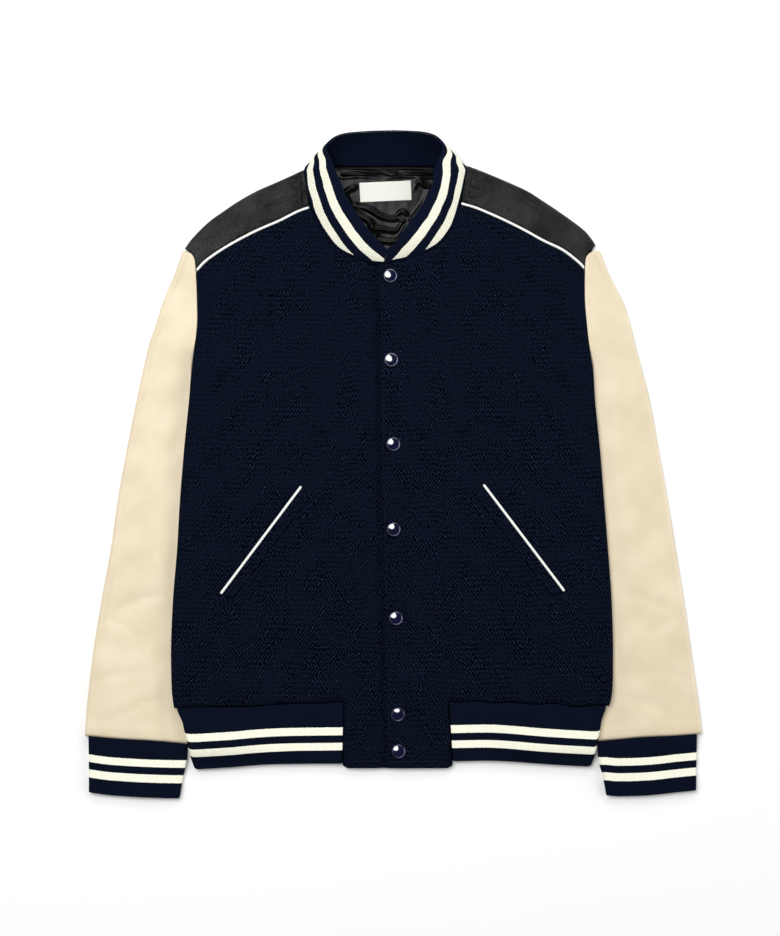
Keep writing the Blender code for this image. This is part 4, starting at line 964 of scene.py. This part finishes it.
def makeCuff(side):
    use, at = cuffCloth, column[side]
    half, radius = walls["rib"] / 2, heights["cuff"] / 2
    turns = np.radians(np.linspace(90, -90, 15))
    rows, away = [], []
    for share in [0.024, *np.linspace(0.055, 1, use["rows"])]:
        ring = radius - half - 0.3 * (1 - share)
        level = (1 - share) * tableAt(cuffBottom, 300, at) + share * tableAt(cuffSeam, 300, at)
        inner = float(tableAt(cuffEdge, level, at)) + half
        outer = float(tableAt(cuffEdge, level, at + 2)) - half
        straight = np.linspace(inner + ring, outer - ring, 60)[:-1]
        out = np.concatenate([straight, outer - ring + ring * np.cos(turns), straight[-2::-1],
                              (inner + ring - ring * np.cos(turns))[:-1]])
        rise = ring * np.sin(turns)
        z = radius + np.concatenate([np.full(59, ring), rise, np.full(58, -ring), -rise[:-1]])
        low = smoothTable(cuffBottom, at, out)
        y = low + share * (smoothTable(cuffSeam, at, out) - seamGap - low)
        sag = 0.4 * softNoise(out, y, 50, 11) + 0.45 * softNoise(out, y * 0.3, 22, 7)
        held = ease(0, 6, out - inner) * ease(0, 6, outer - out) * (z > radius)
        rows.append(np.column_stack([side * out, y, z + sag * held]))
        away.append(y - low)
    middle, away, phase = ribbed(rows, away, side == right, closed=True)
    ribBand("cuff " + sideNames[side], "cuff", middle, away, phase, use["height"] - away,
            closed=True)


collarCloth = {"rows": 20, "bulge": 2.6, "foldShift": 5.0, "cut": (0.470, 0.048, 0.0215)}
# Edges of the collar's two stripes as they run down each side: y, then reaches from the neck
collarStripes = {
    right: ((229.6, 1.0, 15.5, 31.0, 43.0), (236.6, 8.0, 24.0, 38.5, 50.0),
            (243.6, 16.8, 31.9, 46.2, 57.5), (250.6, 26.1, 40.0, 53.2, 64.5),
            (257.5, 33.1, 45.8, 58.6, 70.2), (264.5, 38.9, 51.6, 63.2, 74.8),
            (271.4, 44.7, 56.3, 67.9, 79.5), (278.4, 49.3, 60.9, 72.5, 82.9),
            (285.4, 53.9, 65.5, 76.0, 86.4), (292.3, 58.6, 69.0, 79.5, 89.9),
            (299.3, 62.1, 72.5, 81.8, 92.2), (306.2, 65.5, 74.8, 84.1, 93.4),
            (313.2, 67.9, 77.1, 86.4, 95.7), (320.2, 70.2, 79.5, 88.7, 98.0),
            (327.1, 72.5, 80.6, 89.9, 99.2), (334.1, 74.8, 82.9, 91.1, 99.4),
            (341.0, 77.1, 84.1, 92.2, 99.8), (348.0, 78.3, 85.3, 92.2, 98.5)),
    left: ((229.6, -10.0, 3.5, 18.5, 31.0), (236.6, -3.0, 10.2, 25.2, 38.0),
           (243.6, 4.1, 16.8, 31.8, 44.6), (250.6, 9.9, 23.8, 37.7, 50.0),
           (257.5, 16.8, 29.6, 42.3, 54.4), (264.5, 22.6, 35.4, 47.0, 58.8),
           (271.4, 28.4, 40.0, 51.6, 63.2), (278.4, 33.1, 44.7, 56.3, 66.7),
           (285.4, 38.9, 49.3, 59.7, 69.0), (292.3, 42.3, 52.8, 62.1, 72.5),
           (299.3, 45.8, 55.1, 65.5, 74.8), (306.2, 49.3, 58.6, 67.9, 77.1),
           (313.2, 51.6, 60.9, 69.0, 78.3), (320.2, 53.9, 62.1, 70.2, 79.5),
           (327.1, 55.1, 63.2, 72.5, 81.8), (334.1, 56.3, 64.4, 73.7, 82.9),
           (341.0, 56.3, 64.4, 74.8, 82.9), (348.0, 56.3, 65.5, 74.8, 82.9)),
}


def stripePlace(side, places):    # where a place lies across the stripes drawn for its side
    reach, y = side * places[:, 0], places[:, 1]
    edges = [tableAt(collarStripes[side], y, at) for at in range(1, 5)]
    marks = np.ravel(stripes["collar"])
    spans = [low + (high - low) * (reach - near) / (far - near)
             for low, high, near, far in zip(marks, marks[1:], edges, edges[1:])]
    return np.where(reach < edges[1], spans[0], np.where(reach < edges[2], *spans[1:]))


def makeCollar():
    use = collarCloth
    half = walls["rib"] / 2
    stations = curved(collarStations, 24)
    at = travelled(stations[:, 3:5]) + travelled(stations[:, 0:2])
    wanted, phase = ribShares(at[-1] / 2)
    stations = readAt(wanted, at / at[-1], stations)
    seam, fold = stations[:, :3], stations[:, 3:]
    across = fold - seam
    facing = unit(np.cross(across, np.gradient(seam + fold, axis=0)))
    size = np.linalg.norm(across, axis=1)[:, None]
    rows, distance, fromSeam = [], [], []
    middle = len(seam) // 2
    for share in np.linspace(1, 0, use["rows"]):
        held = share * (1 - half / size)
        bulge = use["bulge"] * np.sin(math.pi * share) * np.minimum(size / 45, 1)
        wave = 0.5 * softNoise(seam[:, :1], seam[:, 1:2], 70, 12) * math.sin(math.pi * share)
        places = seam + held * across
        rows.append(places + facing * (bulge - half + wave))
        drawn = np.concatenate([stripePlace(right, places[:middle]),
                                stripePlace(left, places[middle:])])
        around = ease(341, 358, places[:, 1])
        fromFold = (1 - share) * size[:, 0] + use["foldShift"]
        distance.append(around * fromFold + (1 - around) * drawn)
        fromSeam.append((held * size)[:, 0])
    rows, distance, fromSeam = (np.array(part)[:, ::-1] for part in (rows, distance, fromSeam))
    # Rows run down from the fold, so the outer face is the neck side
    ribBand("collar rib", "collar", rows, distance, phase[::-1], fromSeam,
            plainFace="outer", node="collar")


shoulderCloth = {"along": 130, "up": 44, "turn": 12, "back": 12, "ridge": 3.0, "ridgeAt": 9.5,
                 "crumple": 2.0, "streak": 0.8, "slant": math.radians(28), "droop": 1.4,
                 "seamRoll": 0.9, "neckMiddle": {right: (-100.4, 318.0), left: (82.2, 322.0)},
                 "armMiddle": {right: 241.0, left: 243.5}, "cut": (0.180, 0.125, 0.0112)}


def makeShoulder(side):
    use = shoulderCloth
    count, radius = use["along"], heights["body"] / 2
    room = side * (pipingCord["room"] + 0.1)
    low = shifted(trace(pipingLines[side], count), room)
    fold = trace(shoulderLines[side], count)
    back = shifted(trace(backPipingLines[side], count), room)
    neckEdge = trace((low[0], use["neckMiddle"][side], fold[0]), 30)
    armX = side * reachAt(bodyEdge, side, 241.9)
    armEdge = trace((low[-1], (armX, use["armMiddle"][side]), fold[-1]), 30)
    columns = []
    for line, end, behind in zip(fill(low, fold, neckEdge, armEdge).swapaxes(0, 1), fold, back):
        away = unit(end - line[-2])
        centre = end - radius * away
        at = np.arange(len(line))
        before = np.interp(0, -((centre - line) @ away), at)
        column = [(*place, heights["body"])
                  for place in readAt(np.linspace(0, before, use["up"]), at, line)]
        for turn in np.linspace(math.pi / 2, -math.pi / 2, use["turn"] + 1)[1:]:
            column.append((*(centre + radius * math.cos(turn) * away),
                           radius + radius * math.sin(turn)))
        for share in np.linspace(0, 1, use["back"] + 1)[1:]:
            x, y = centre + share * (behind - centre)
            limit = reachAt(bodyEdge, side, y) - seamGap
            column.append((side * min(abs(x), limit), y, 0.0))
        columns.append(column)
    grid = np.array(columns).transpose(1, 0, 2)
    up, _, along, fromArm = edgeDistances(grid)
    fromFold = np.maximum(up[use["up"] - 1] - up, 0)
    x, y = grid[..., 0], grid[..., 1]
    top = ease(radius - 0.5, radius + 2, grid[..., 2])
    ripple = 0.75 + 0.4 * softNoise(x, y, 16, 21) + 0.3 * softNoise(x, y, 6, 23)
    relief = use["ridge"] * hump(along, use["ridgeAt"], 2.8) * np.maximum(ripple, 0.2)
    relief -= 1.1 * hump(along, 4.4, 2.0)
    relief -= rollDown(up, 3.2, use["seamRoll"]) + rollDown(fromArm, 3.2, 0.8)
    slope, lean = math.cos(use["slant"]), side * math.sin(use["slant"])
    level, rise = x * slope - y * lean, x * lean + y * slope
    relief += use["streak"] * softNoise(level * 0.3, rise, 13, side + 30)
    relief += 0.25 * softNoise(level * 0.5, rise, 6, side + 33)
    relief -= use["droop"] * ease(16, 0, fromFold)
    crumple = softNoise(x * 0.6, y, 7, side + 27) + 0.6 * softNoise(x * 0.7, y, 4, side + 24)
    relief += use["crumple"] * crumple * hump(along, 13, 9)
    grid[..., 2] += relief * top
    grid[..., 2] += 0.3 * np.maximum(softNoise(x, y, 40, 37), 0) * (grid[..., 2] < 0.5)
    run, rise = np.diff(grid, axis=1)[:-1], np.diff(grid, axis=0)[:, :-1]
    facing = side * (run[..., 0] * rise[..., 1] - run[..., 1] * rise[..., 0])
    kept = (grid[:-1, :-1, 2] > 0.5) | (facing < -0.02)
    sheetOf("shoulder " + sideNames[side], grid, walls["shoulder"], "shoulder",
            outward=side, kept=kept)


sleeveCloth = {"rowStep": 3.0, "upper": 54, "under": 20, "turn": 10, "undulation": 2.2,
               "wrinkle": 0.9, "low": -318.6, "cut": (0.285, 0.600, 0.121)}


def sleeveHeight(side, reachOut, y):
    use, full = sleeveCloth, heights["sleeve"]
    edge = bodyReach(side, np.maximum(y, bodyEdge[0][0]))
    low = full - (full - heights["tucked"]) * ease(armhole["low"], armhole["folded"], y)
    low = np.where(y > armhole["low"], heights["body"], np.minimum(low, heights["body"]))
    outer = smoothTable(sleeveEdge, column[side], y)
    height = low + (full - low) * ease(edge + 2, edge + 24, reachOut)
    height = height - (full - heights["sleeveEdge"]) * ease(outer - 30, outer - 4, reachOut)
    soft = use["undulation"] * softNoise(side * reachOut, y, 95, side + 40) \
        + use["wrinkle"] * softNoise(side * reachOut, y, 36, side + 43)
    shown = ease(edge + 2, edge + 14, reachOut)
    return height + (soft * ease(0, 12, outer - reachOut)
                     - creases(sleeveCreases, reachOut, y)) * shown


def makeSleeve(side):
    use = sleeveCloth
    low, high = use["low"], armhole["top"]
    half = np.linspace(math.pi / 2, -math.pi / 2, use["turn"] * 2 + 1)[1:-1]
    grid = []
    for level in np.linspace(low, high, round((high - low) / use["rowStep"]) + 1):
        slant = ((level - high) / (low - high)) ** 3
        angle = float(sideAngle(level, armhole["sleeveFold"]))
        inner = float(tuckedReach(side, level))
        outer = float(smoothTable(sleeveEdge, column[side], level))
        radius = float(sleeveHeight(side, inner, level)) / 2
        outerRadius = min(heights["sleeveEdge"] / 2, (outer - inner) * 0.55)
        start = inner + radius * math.sin(angle)
        end = max(outer - outerRadius, start + 0.2)
        stops = np.linspace(start, end, use["upper"])
        tops = sleeveHeight(side, stops, level)
        tops = tops + (2 * outerRadius - tops) * ease(end - 6, end, stops)
        under = np.linspace(end, start, use["under"])
        turns = np.linspace(angle, 0, use["turn"] + 1)[:-1]
        out = np.concatenate([start - radius * np.sin(turns), stops,
                              end + outerRadius * np.cos(half), under,
                              start - radius * np.sin(turns[::-1])])
        z = np.concatenate([radius * (1 + np.cos(turns)), tops,
                            outerRadius * (1 + np.sin(half)), 0 * under,
                            radius * (1 - np.cos(turns[::-1]))])
        seamY = smoothTable(cuffSeam, column[side], out) + seamGap / 2
        y = level + slant * (seamY - low)
        upper = ease(2.0, 5.0, z)
        armSeam = rollDown(out - bodyReach(side, level), 3.2, 0.9) if level > armhole["low"] else 0
        cuffEnd = rollDown(y - seamY, 4.0, 1.0) + stitchGroove(y - seamY, 5.0, 0.4) \
            - 0.4 * hump(y - seamY, 11, 6) * (0.5 + softNoise(out, y * 0.2, 20, 47))
        grid.append(np.column_stack([side * out, y, z - (armSeam + cuffEnd) * upper]))
    grid = np.array(grid)
    sheetOf("sleeve " + sideNames[side], grid, walls["sleeve"], "sleeve",
            outward=side)
    return grid


def landing(grid, places, above=60.0):    # height of the surface under each place
    faces = gridFaces(*grid.shape[:2]).tolist()
    tree = BVHTree.FromPolygons(grid.reshape(-1, 3).tolist(), faces)
    found = []
    for x, y in places:
        hit = tree.ray_cast((float(x), float(y), above), (0, 0, -1))[0]
        found.append(hit[2] if hit is not None else found[-1] if found else 0.0)
    return np.column_stack([places, found])


def tubeOf(words, path, radius, sides=14, twist=0.05, pitch=2.2):
    along = unit(np.gradient(path, axis=0))
    aside = unit(np.cross(along, (0, 0, 1.0)))[:, None]
    up = np.cross(aside[:, 0], along)[:, None]
    at = travelled(path)
    turns = np.linspace(0, 2 * math.pi, sides, endpoint=False)
    wrap = 1 + twist * np.sin(at[:, None] * 2 * math.pi / pitch + 2 * turns)
    ends = np.clip(np.minimum(at, at[-1] - at) / radius, 0.05, 1)
    size = radius * np.sqrt(1 - (1 - ends) ** 2)[:, None] * wrap
    ring = aside * np.cos(turns)[:, None] + up * np.sin(turns)[:, None]
    points = (path[:, None] + ring * size[:, :, None]).reshape(-1, 3)
    index = numbered(len(path), sides, True)
    faces = quadsOf(index).reshape(-1, 4).tolist()
    faces += [index[0, :-1][::-1].tolist(), index[-1, :-1].tolist()]
    uv = np.stack(np.meshgrid(turns * radius, at), axis=2).reshape(-1, 2)
    register(makeObject(words, points, faces, trim, uv), words)


def makePiping(side):
    use = pipingCord
    for words, lines, height in (
            ("shoulder piping ", pipingLines, heights["body"] - use["sink"]),
            ("back piping ", backPipingLines, use["radius"])):
        line = traceEven(lines[side], use["spacing"])
        path = np.column_stack([line, np.full(len(line), height)])
        if lines is pipingLines:
            path[:, 2] += 0.15 * softNoise(path[:, 0], path[:, 1], 30, 51)
        tubeOf(words + sideNames[side], path, use["radius"])


pocketCloth = {"width": 15.0, "start": 2.2, "wall": 1.4, "radius": 1.5, "mitre": 4.0,
               "edgeStitch": 2.2, "endStitch": 5.0, "cut": (0.1555, 0.0142, 0.0021)}


def makePocket(side):
    use = pocketCloth
    x0, y0, x1, y1 = pocketLines[side]
    top, down = np.array((x0, y0)), np.array((x1 - x0, y1 - y0))
    length = np.linalg.norm(down)
    down /= length
    across = -np.array((side * abs(down[1]), abs(down[0])))
    grid = []
    for width in np.linspace(use["start"], use["width"], 14):
        cut = use["mitre"] * (width - use["start"]) / (use["width"] - use["start"])
        along = np.linspace(cut, length - cut, 76)
        x, y = (top + along[:, None] * down + across * width).T
        fromEdge = use["width"] - width
        fromEnds = np.minimum(along - cut, length - cut - along)
        z = frontHeights[side](x, y) + seamGap + 0.3 + use["wall"]
        z -= rollDown(fromEdge, 1.6, 1.0) + rollDown(fromEnds, 1.6, 1.0)
        z -= stitchGroove(fromEdge, use["edgeStitch"], 0.35, 0.8)
        z -= stitchGroove(fromEnds, use["endStitch"], 0.25, 0.8)
        grid.append(np.column_stack([x, y, z + 0.18 * softNoise(x, y, 22, side + 60)]))
    grid = np.array(grid)
    facing = np.cross(grid[0, 1] - grid[0, 0], grid[1, 0] - grid[0, 0])[2]
    sheetOf("pocket welt " + sideNames[side], grid, use["wall"], "wool",
            1 if facing > 0 else -1,
            uv=grid[..., :2] * (side, 1))
    x, y = (top + np.linspace(0, length, round(length / 0.7))[:, None] * down).T
    z = frontHeights[side](x, y) + seamGap + 0.4 + use["radius"]
    tubeOf("pocket piping " + sideNames[side], np.column_stack([x, y, z]), use["radius"])
    inner = use["width"] - use["edgeStitch"]
    end, near, turn = use["mitre"] + 2, use["endStitch"], use["mitre"] * 0.8
    seams = [((end, inner), (length - end, inner)), ((near, 3.2), (near + turn, inner)),
             ((length - near, 3.2), (length - near - turn, inner))]
    return grid, [[top + down * far + across * aside for far, aside in seam] for seam in seams]


snapShape = {"ring": ((8.0, -0.6), (8.0, 0.9), (7.8, 1.35), (7.45, 1.6), (7.1, 1.62), (6.85, 1.4)),
             "domeReach": (6.75, 6.5, 6.0, 5.2, 4.2, 3.1, 2.0, 0.9), "curve": 23.0, "steps": 64}


def makeSnap(number, x, y, leanX, leanY):
    use, steps = snapShape, snapShape["steps"]
    height = float(leftFrontHeight(np.array(x), np.array(y))) + seamGap
    reach = np.array(use["domeReach"])
    rise = np.sqrt(use["curve"] ** 2 - reach ** 2)
    r, z = np.vstack([use["ring"], np.column_stack([reach, 1.5 + rise - rise[0]])]).T[:, :, None]
    turns = np.linspace(0, 2 * math.pi, steps, endpoint=False)
    out, up = r * np.cos(turns), r * np.sin(turns)
    points = np.stack([x + out, y + up, height + z + leanX * out + leanY * up], axis=2)
    faces = quadsOf(numbered(len(r), steps, True)).reshape(-1, 4).tolist()
    faces += [list(range((len(r) - 1) * steps, len(r) * steps)), list(range(steps))[::-1]]
    words = "snap %d" % number
    obj = makeObject(words, points.reshape(-1, 3), faces, metal)
    obj.data.materials.append(enamel)
    for polygon in obj.data.polygons:
        if (len(use["ring"]) - 1) * steps <= polygon.index < len(faces) - 1:
            polygon.material_index = 1
    register(obj, words)


# Folds of the lining, as lines of soft ridges: points of a line, height, half-width
liningFolds = (
    (((-43.6, 301.8), (-31.8, 298.3), (-22.0, 292.7), (-13.6, 287.8), (-3.9, 285.7),
      (4.5, 285.7), (13.0, 283.5)), 3.4, 2.4),
    (((-49.2, 299.7), (-40.2, 289.9), (-30.4, 284.3), (-25.5, 278.7), (-22.0, 274.5),
      (-10.8, 273.1), (1.7, 271.7), (6.6, 277.3), (12.5, 283.9)), 3.2, 2.3),
    (((2.5, 289.3), (5.5, 292.3), (10.1, 294.1), (15.7, 288.5), (18.5, 284.3)), 2.6, 2.0),
    (((-22.6, 264.4), (-15.0, 260.6), (-3.9, 259.2), (3.1, 260.6), (8.7, 266.2),
      (17.1, 280.1), (26.9, 292.7), (35.0, 305.0), (40.0, 317.0)), 2.8, 2.6),
    (((22.7, 320.6), (28.2, 329.0), (35.2, 324.8), (44.6, 320.6)), 2.8, 2.3),
    (((-58.3, 313.0), (-52.7, 319.2), (-43.3, 322.0)), 2.6, 2.6),
    (((-54.7, 311.4), (-52.0, 304.0), (-48.2, 297.7)), 2.2, 2.2),
    (((-27.0, 277.0), (-24.6, 271.0), (-20.0, 267.0)), 2.0, 2.2),
    (((-60.0, 333.5), (-38.0, 334.5), (-12.0, 332.0), (4.0, 334.6), (46.0, 334.0)), 1.4, 1.8),
)
liningEdges = {right: ((-58.0, 240.0), (-80.0, 280.0), (-90.0, 315.0), (-92.0, 348.0)),
               left: ((46.0, 240.0), (62.0, 280.0), (72.0, 315.0), (74.0, 348.0))}
liningCloth = {"floor": 3.0, "folds": 0.8, "cut": (0.172, 0.107, 0.0160)}
hangerCloth = {"ends": (-62.0, 46.0), "level": 336.6, "width": 7.6, "gather": -2.0,
               "cut": (0.110, 0.0105, 0.00115)}
labelCloth = {"size": (60.0, 22.6), "centre": (-9.2, 317.3), "tilt": math.radians(2.5),
              "height": 6.2, "stitch": 2.2, "cut": (0.0605, 0.0232, 0.0014)}


def ridgeLines(table, x, y):
    rise = np.zeros(np.broadcast(x, y).shape)
    for line, height, halfWidth in table:
        dense = traceEven(line, 0.8)
        best, fade = np.full(rise.shape, 1e9), np.zeros(rise.shape)
        for (px, py), share in zip(dense, np.linspace(0, 1, len(dense))):
            away = (x - px) ** 2 + (y - py) ** 2
            fade = np.where(away < best, 0.5 + 0.5 * math.sin(math.pi * share), fade)
            best = np.minimum(away, best)
        rise = rise + height * fade * np.exp(-best / halfWidth ** 2)
    return rise


def liningHeight(x, y):
    waves = 0.35 * softNoise(x, y, 30, 70) + 0.15 * softNoise(x, y, 13, 72)
    midX, midY = labelCloth["centre"]
    under = ease(40, 30, np.abs(x - midX)) * ease(21, 13, np.abs(y - midY))
    folds = liningCloth["folds"] * ridgeLines(liningFolds, x, y) * (1 - 0.85 * under)
    return liningCloth["floor"] + (folds + 0.5 + waves) * ease(346, 339, y) \
        - 1.4 * ease(344, 348, y)


def makeLining():
    edges = [trace(liningEdges[side], 110) for side in (right, left)]
    low, high = [np.linspace(edges[0][end], edges[1][end], 150) for end in (0, -1)]
    plan = fill(low, high, *edges)
    x, y = plan[..., 0], plan[..., 1]
    sheetOf("neck lining", np.dstack([x, y, liningHeight(x, y)]), walls["lining"], "satin")


def makeHanger():
    use = hangerCloth
    x, share = np.meshgrid(np.linspace(*use["ends"], 130), np.linspace(0, 1, 15))
    gathered = hump(x, use["gather"], 5)
    width = use["width"] * (1 - 0.35 * gathered)
    y = use["level"] + 0.9 * softNoise(x, 0 * x, 40, 74) - 1.4 * gathered + (share - 0.1) * width
    crown = 1.3 * np.sin(math.pi * share) ** 0.7 + 0.5 * np.sin(2.6 * math.pi * share + x / 9)
    crown = crown * (0.8 + 0.5 * softNoise(x, y, 24, 75)) + 0.9 * gathered * np.sin(math.pi * share)
    strip = np.dstack([x, y, liningHeight(x, y) + 1.3 + np.maximum(crown, 0)])
    sheetOf("hanger loop", strip, walls["hanger"], "satin")


def onLabel(u, v):    # shares of its width and depth from the middle
    width, depth = labelCloth["size"]
    slope, lean = math.cos(labelCloth["tilt"]), math.sin(labelCloth["tilt"])
    return (labelCloth["centre"][0] + width * u * slope - depth * v * lean,
            labelCloth["centre"][1] + width * u * lean + depth * v * slope)


def makeLabel():
    use = labelCloth
    u, v = np.meshgrid(np.linspace(-0.5, 0.5, 70), np.linspace(-0.5, 0.5, 26))
    x, y = onLabel(u, v)
    edge = (0.5 - np.abs(u)) * use["size"][0]
    z = use["height"] + 0.35 * softNoise(x, y, 45, 78) + 8 * np.maximum(u + v - 0.86, 0)
    z = z - rollDown(edge, 1.2, 0.35) - stitchGroove(edge, use["stitch"], 0.12, 0.5)
    grid = np.dstack([x, y, z])
    sheetOf("neck label", grid, walls["label"], "label")
    return grid


stitchKinds = {"wool": {"length": 2.3, "gap": 0.9, "radius": 0.26},
               "hide": {"length": 2.5, "gap": 0.8, "radius": 0.24},
               "label": {"length": 1.1, "gap": 0.6, "radius": 0.14}}


def sewLine(words, grid, places, kind, thread="cream"):
    line = landing(grid, np.column_stack(places))
    line[:, 2] += stitchKinds[kind]["radius"] * 0.5
    register(threadRow(words, line, stitchKinds[kind], threads[thread]))


fronts = {side: makeFront(side) for side in (right, left)}
print("fronts made")
makeBack()
for side in (right, left):
    makeShoulder(side)
sleeves = {side: makeSleeve(side) for side in (right, left)}
print("back, shoulders and sleeves made")
for end in (right, left, None):
    makeHem(end)
for side in (right, left):
    makeCuff(side)
makeCollar()
print("rib knit made")
pockets = {}
for side in (right, left):
    makePiping(side)
    pockets[side] = makePocket(side)
for number, place in enumerate(snapPlaces, 1):
    makeSnap(number, *place)
makeLining()
makeHanger()
label = makeLabel()
print("trim, snaps and neck made")


def sewEverything():
    def sewWool(words, grid, *places):
        sewLine(words, grid, places, "wool", "navy")

    edgeY = np.linspace(tab["bottom"] + 9, 229, 240)
    sewWool("placket stitches", fronts[left],
            tableAt(placketEdge, edgeY) + frontCloth["placketStitch"], edgeY)
    edge = tableAt(placketEdge, tab["bottom"])
    tabX = {right: np.linspace(3 - tab["out"][right], edge - 3, 40),
            left: np.linspace(edge + 7, tab["out"][left] - 3, 60)}
    for side in (right, left):
        end = " stitches " + sideNames[side]
        sewWool("tab" + end, fronts[side], tabX[side],
                np.full(len(tabX[side]), tab["bottom"] + frontCloth["tabStitch"]))
        grid, seams = pockets[side]
        for number, seam in enumerate(seams, 1):
            sewWool("welt%s %d" % (end, number), grid, *np.linspace(*seam, 40).T)
        levels = np.linspace(118, 243, 90)
        outs = np.linspace(float(bodyReach(side, -281)) - 2, 355, 70)
        for seam, reach, y in (
                ("armhole", bodyReach(side, levels) + 5.2, levels),
                ("cuff", outs, smoothTable(cuffSeam, column[side], outs) + 5.2)):
            sewLine(seam + end, sleeves[side], (side * reach, y), "hide")
    inset, v = 0.5 - labelCloth["stitch"] / labelCloth["size"][0], np.linspace(-0.46, 0.46, 12)
    for number, u in enumerate((-inset, inset), 1):
        sewLine("label stitches %d" % number, label, onLabel(u, v), "label")


sewEverything()
print("stitches sewn")

# Lens: focal length, sensor width (mm), clip end; panels: place, width and height, power
studio = {"floor": (0.93, 0.93, 0.93, 1), "world": 0.04, "lens": (85, 36, 20),
          "camera": (-0.00406, -0.00406, 2.574), "panels": (
    ("keyPanel", (-0.95, 0.85, 2.75), (1.7, 2.6), 83.0),
    ("topPanel", (0.4, 2.9, 2.0), (3.0, 1.7), 42.0),
    ("bottomPanel", (0.5, -3.1, 1.5), (3.0, 3.0), 8.0),
    ("rightPanel", (-3.1, -0.3, 1.4), (3.0, 3.0), 16.0),
    ("leftPanel", (3.1, 0.0, 1.4), (3.0, 3.0), 64.0))}


def makeStudio():
    scene = bpy.context.scene
    scene.view_settings.view_transform = "Standard"
    mesh = bpy.data.meshes.new("floor")
    mesh.from_pydata([(-6, -6, -0.0004), (6, -6, -0.0004), (6, 6, -0.0004), (-6, 6, -0.0004)],
                     [], [(0, 1, 2, 3)])
    floor = bpy.data.objects.new("floor", mesh)
    scene.collection.objects.link(floor)
    pale = startMaterial("paleFloor", 0.1, {"Base Color": studio["floor"], "Roughness": 0.9})[0]
    mesh.materials.append(pale)
    world = bpy.data.worlds.new("softWorld")
    world.use_nodes = True
    world.node_tree.nodes["Background"].inputs[0].default_value = (1, 1, 1, 1)
    world.node_tree.nodes["Background"].inputs[1].default_value = studio["world"]
    scene.world = world
    for name, place, (width, height), power in studio["panels"]:
        lamp = bpy.data.lights.new(name, "AREA")
        lamp.shape = "ELLIPSE"
        lamp.size, lamp.size_y = width, height
        lamp.energy = power
        panel = bpy.data.objects.new(name, lamp)
        panel.location = place
        towards = -np.array(place)
        tilt = math.atan2(math.hypot(towards[0], towards[1]), -towards[2])
        panel.rotation_euler = (tilt, 0, math.atan2(-towards[0], towards[1]))
        scene.collection.objects.link(panel)
    lens = bpy.data.cameras.new("overhead")
    lens.lens, lens.sensor_width, lens.clip_end = studio["lens"]
    camera = bpy.data.objects.new("overhead", lens)
    camera.location = studio["camera"]
    scene.collection.objects.link(camera)
    scene.camera = camera


makeStudio()
print("scene finished")
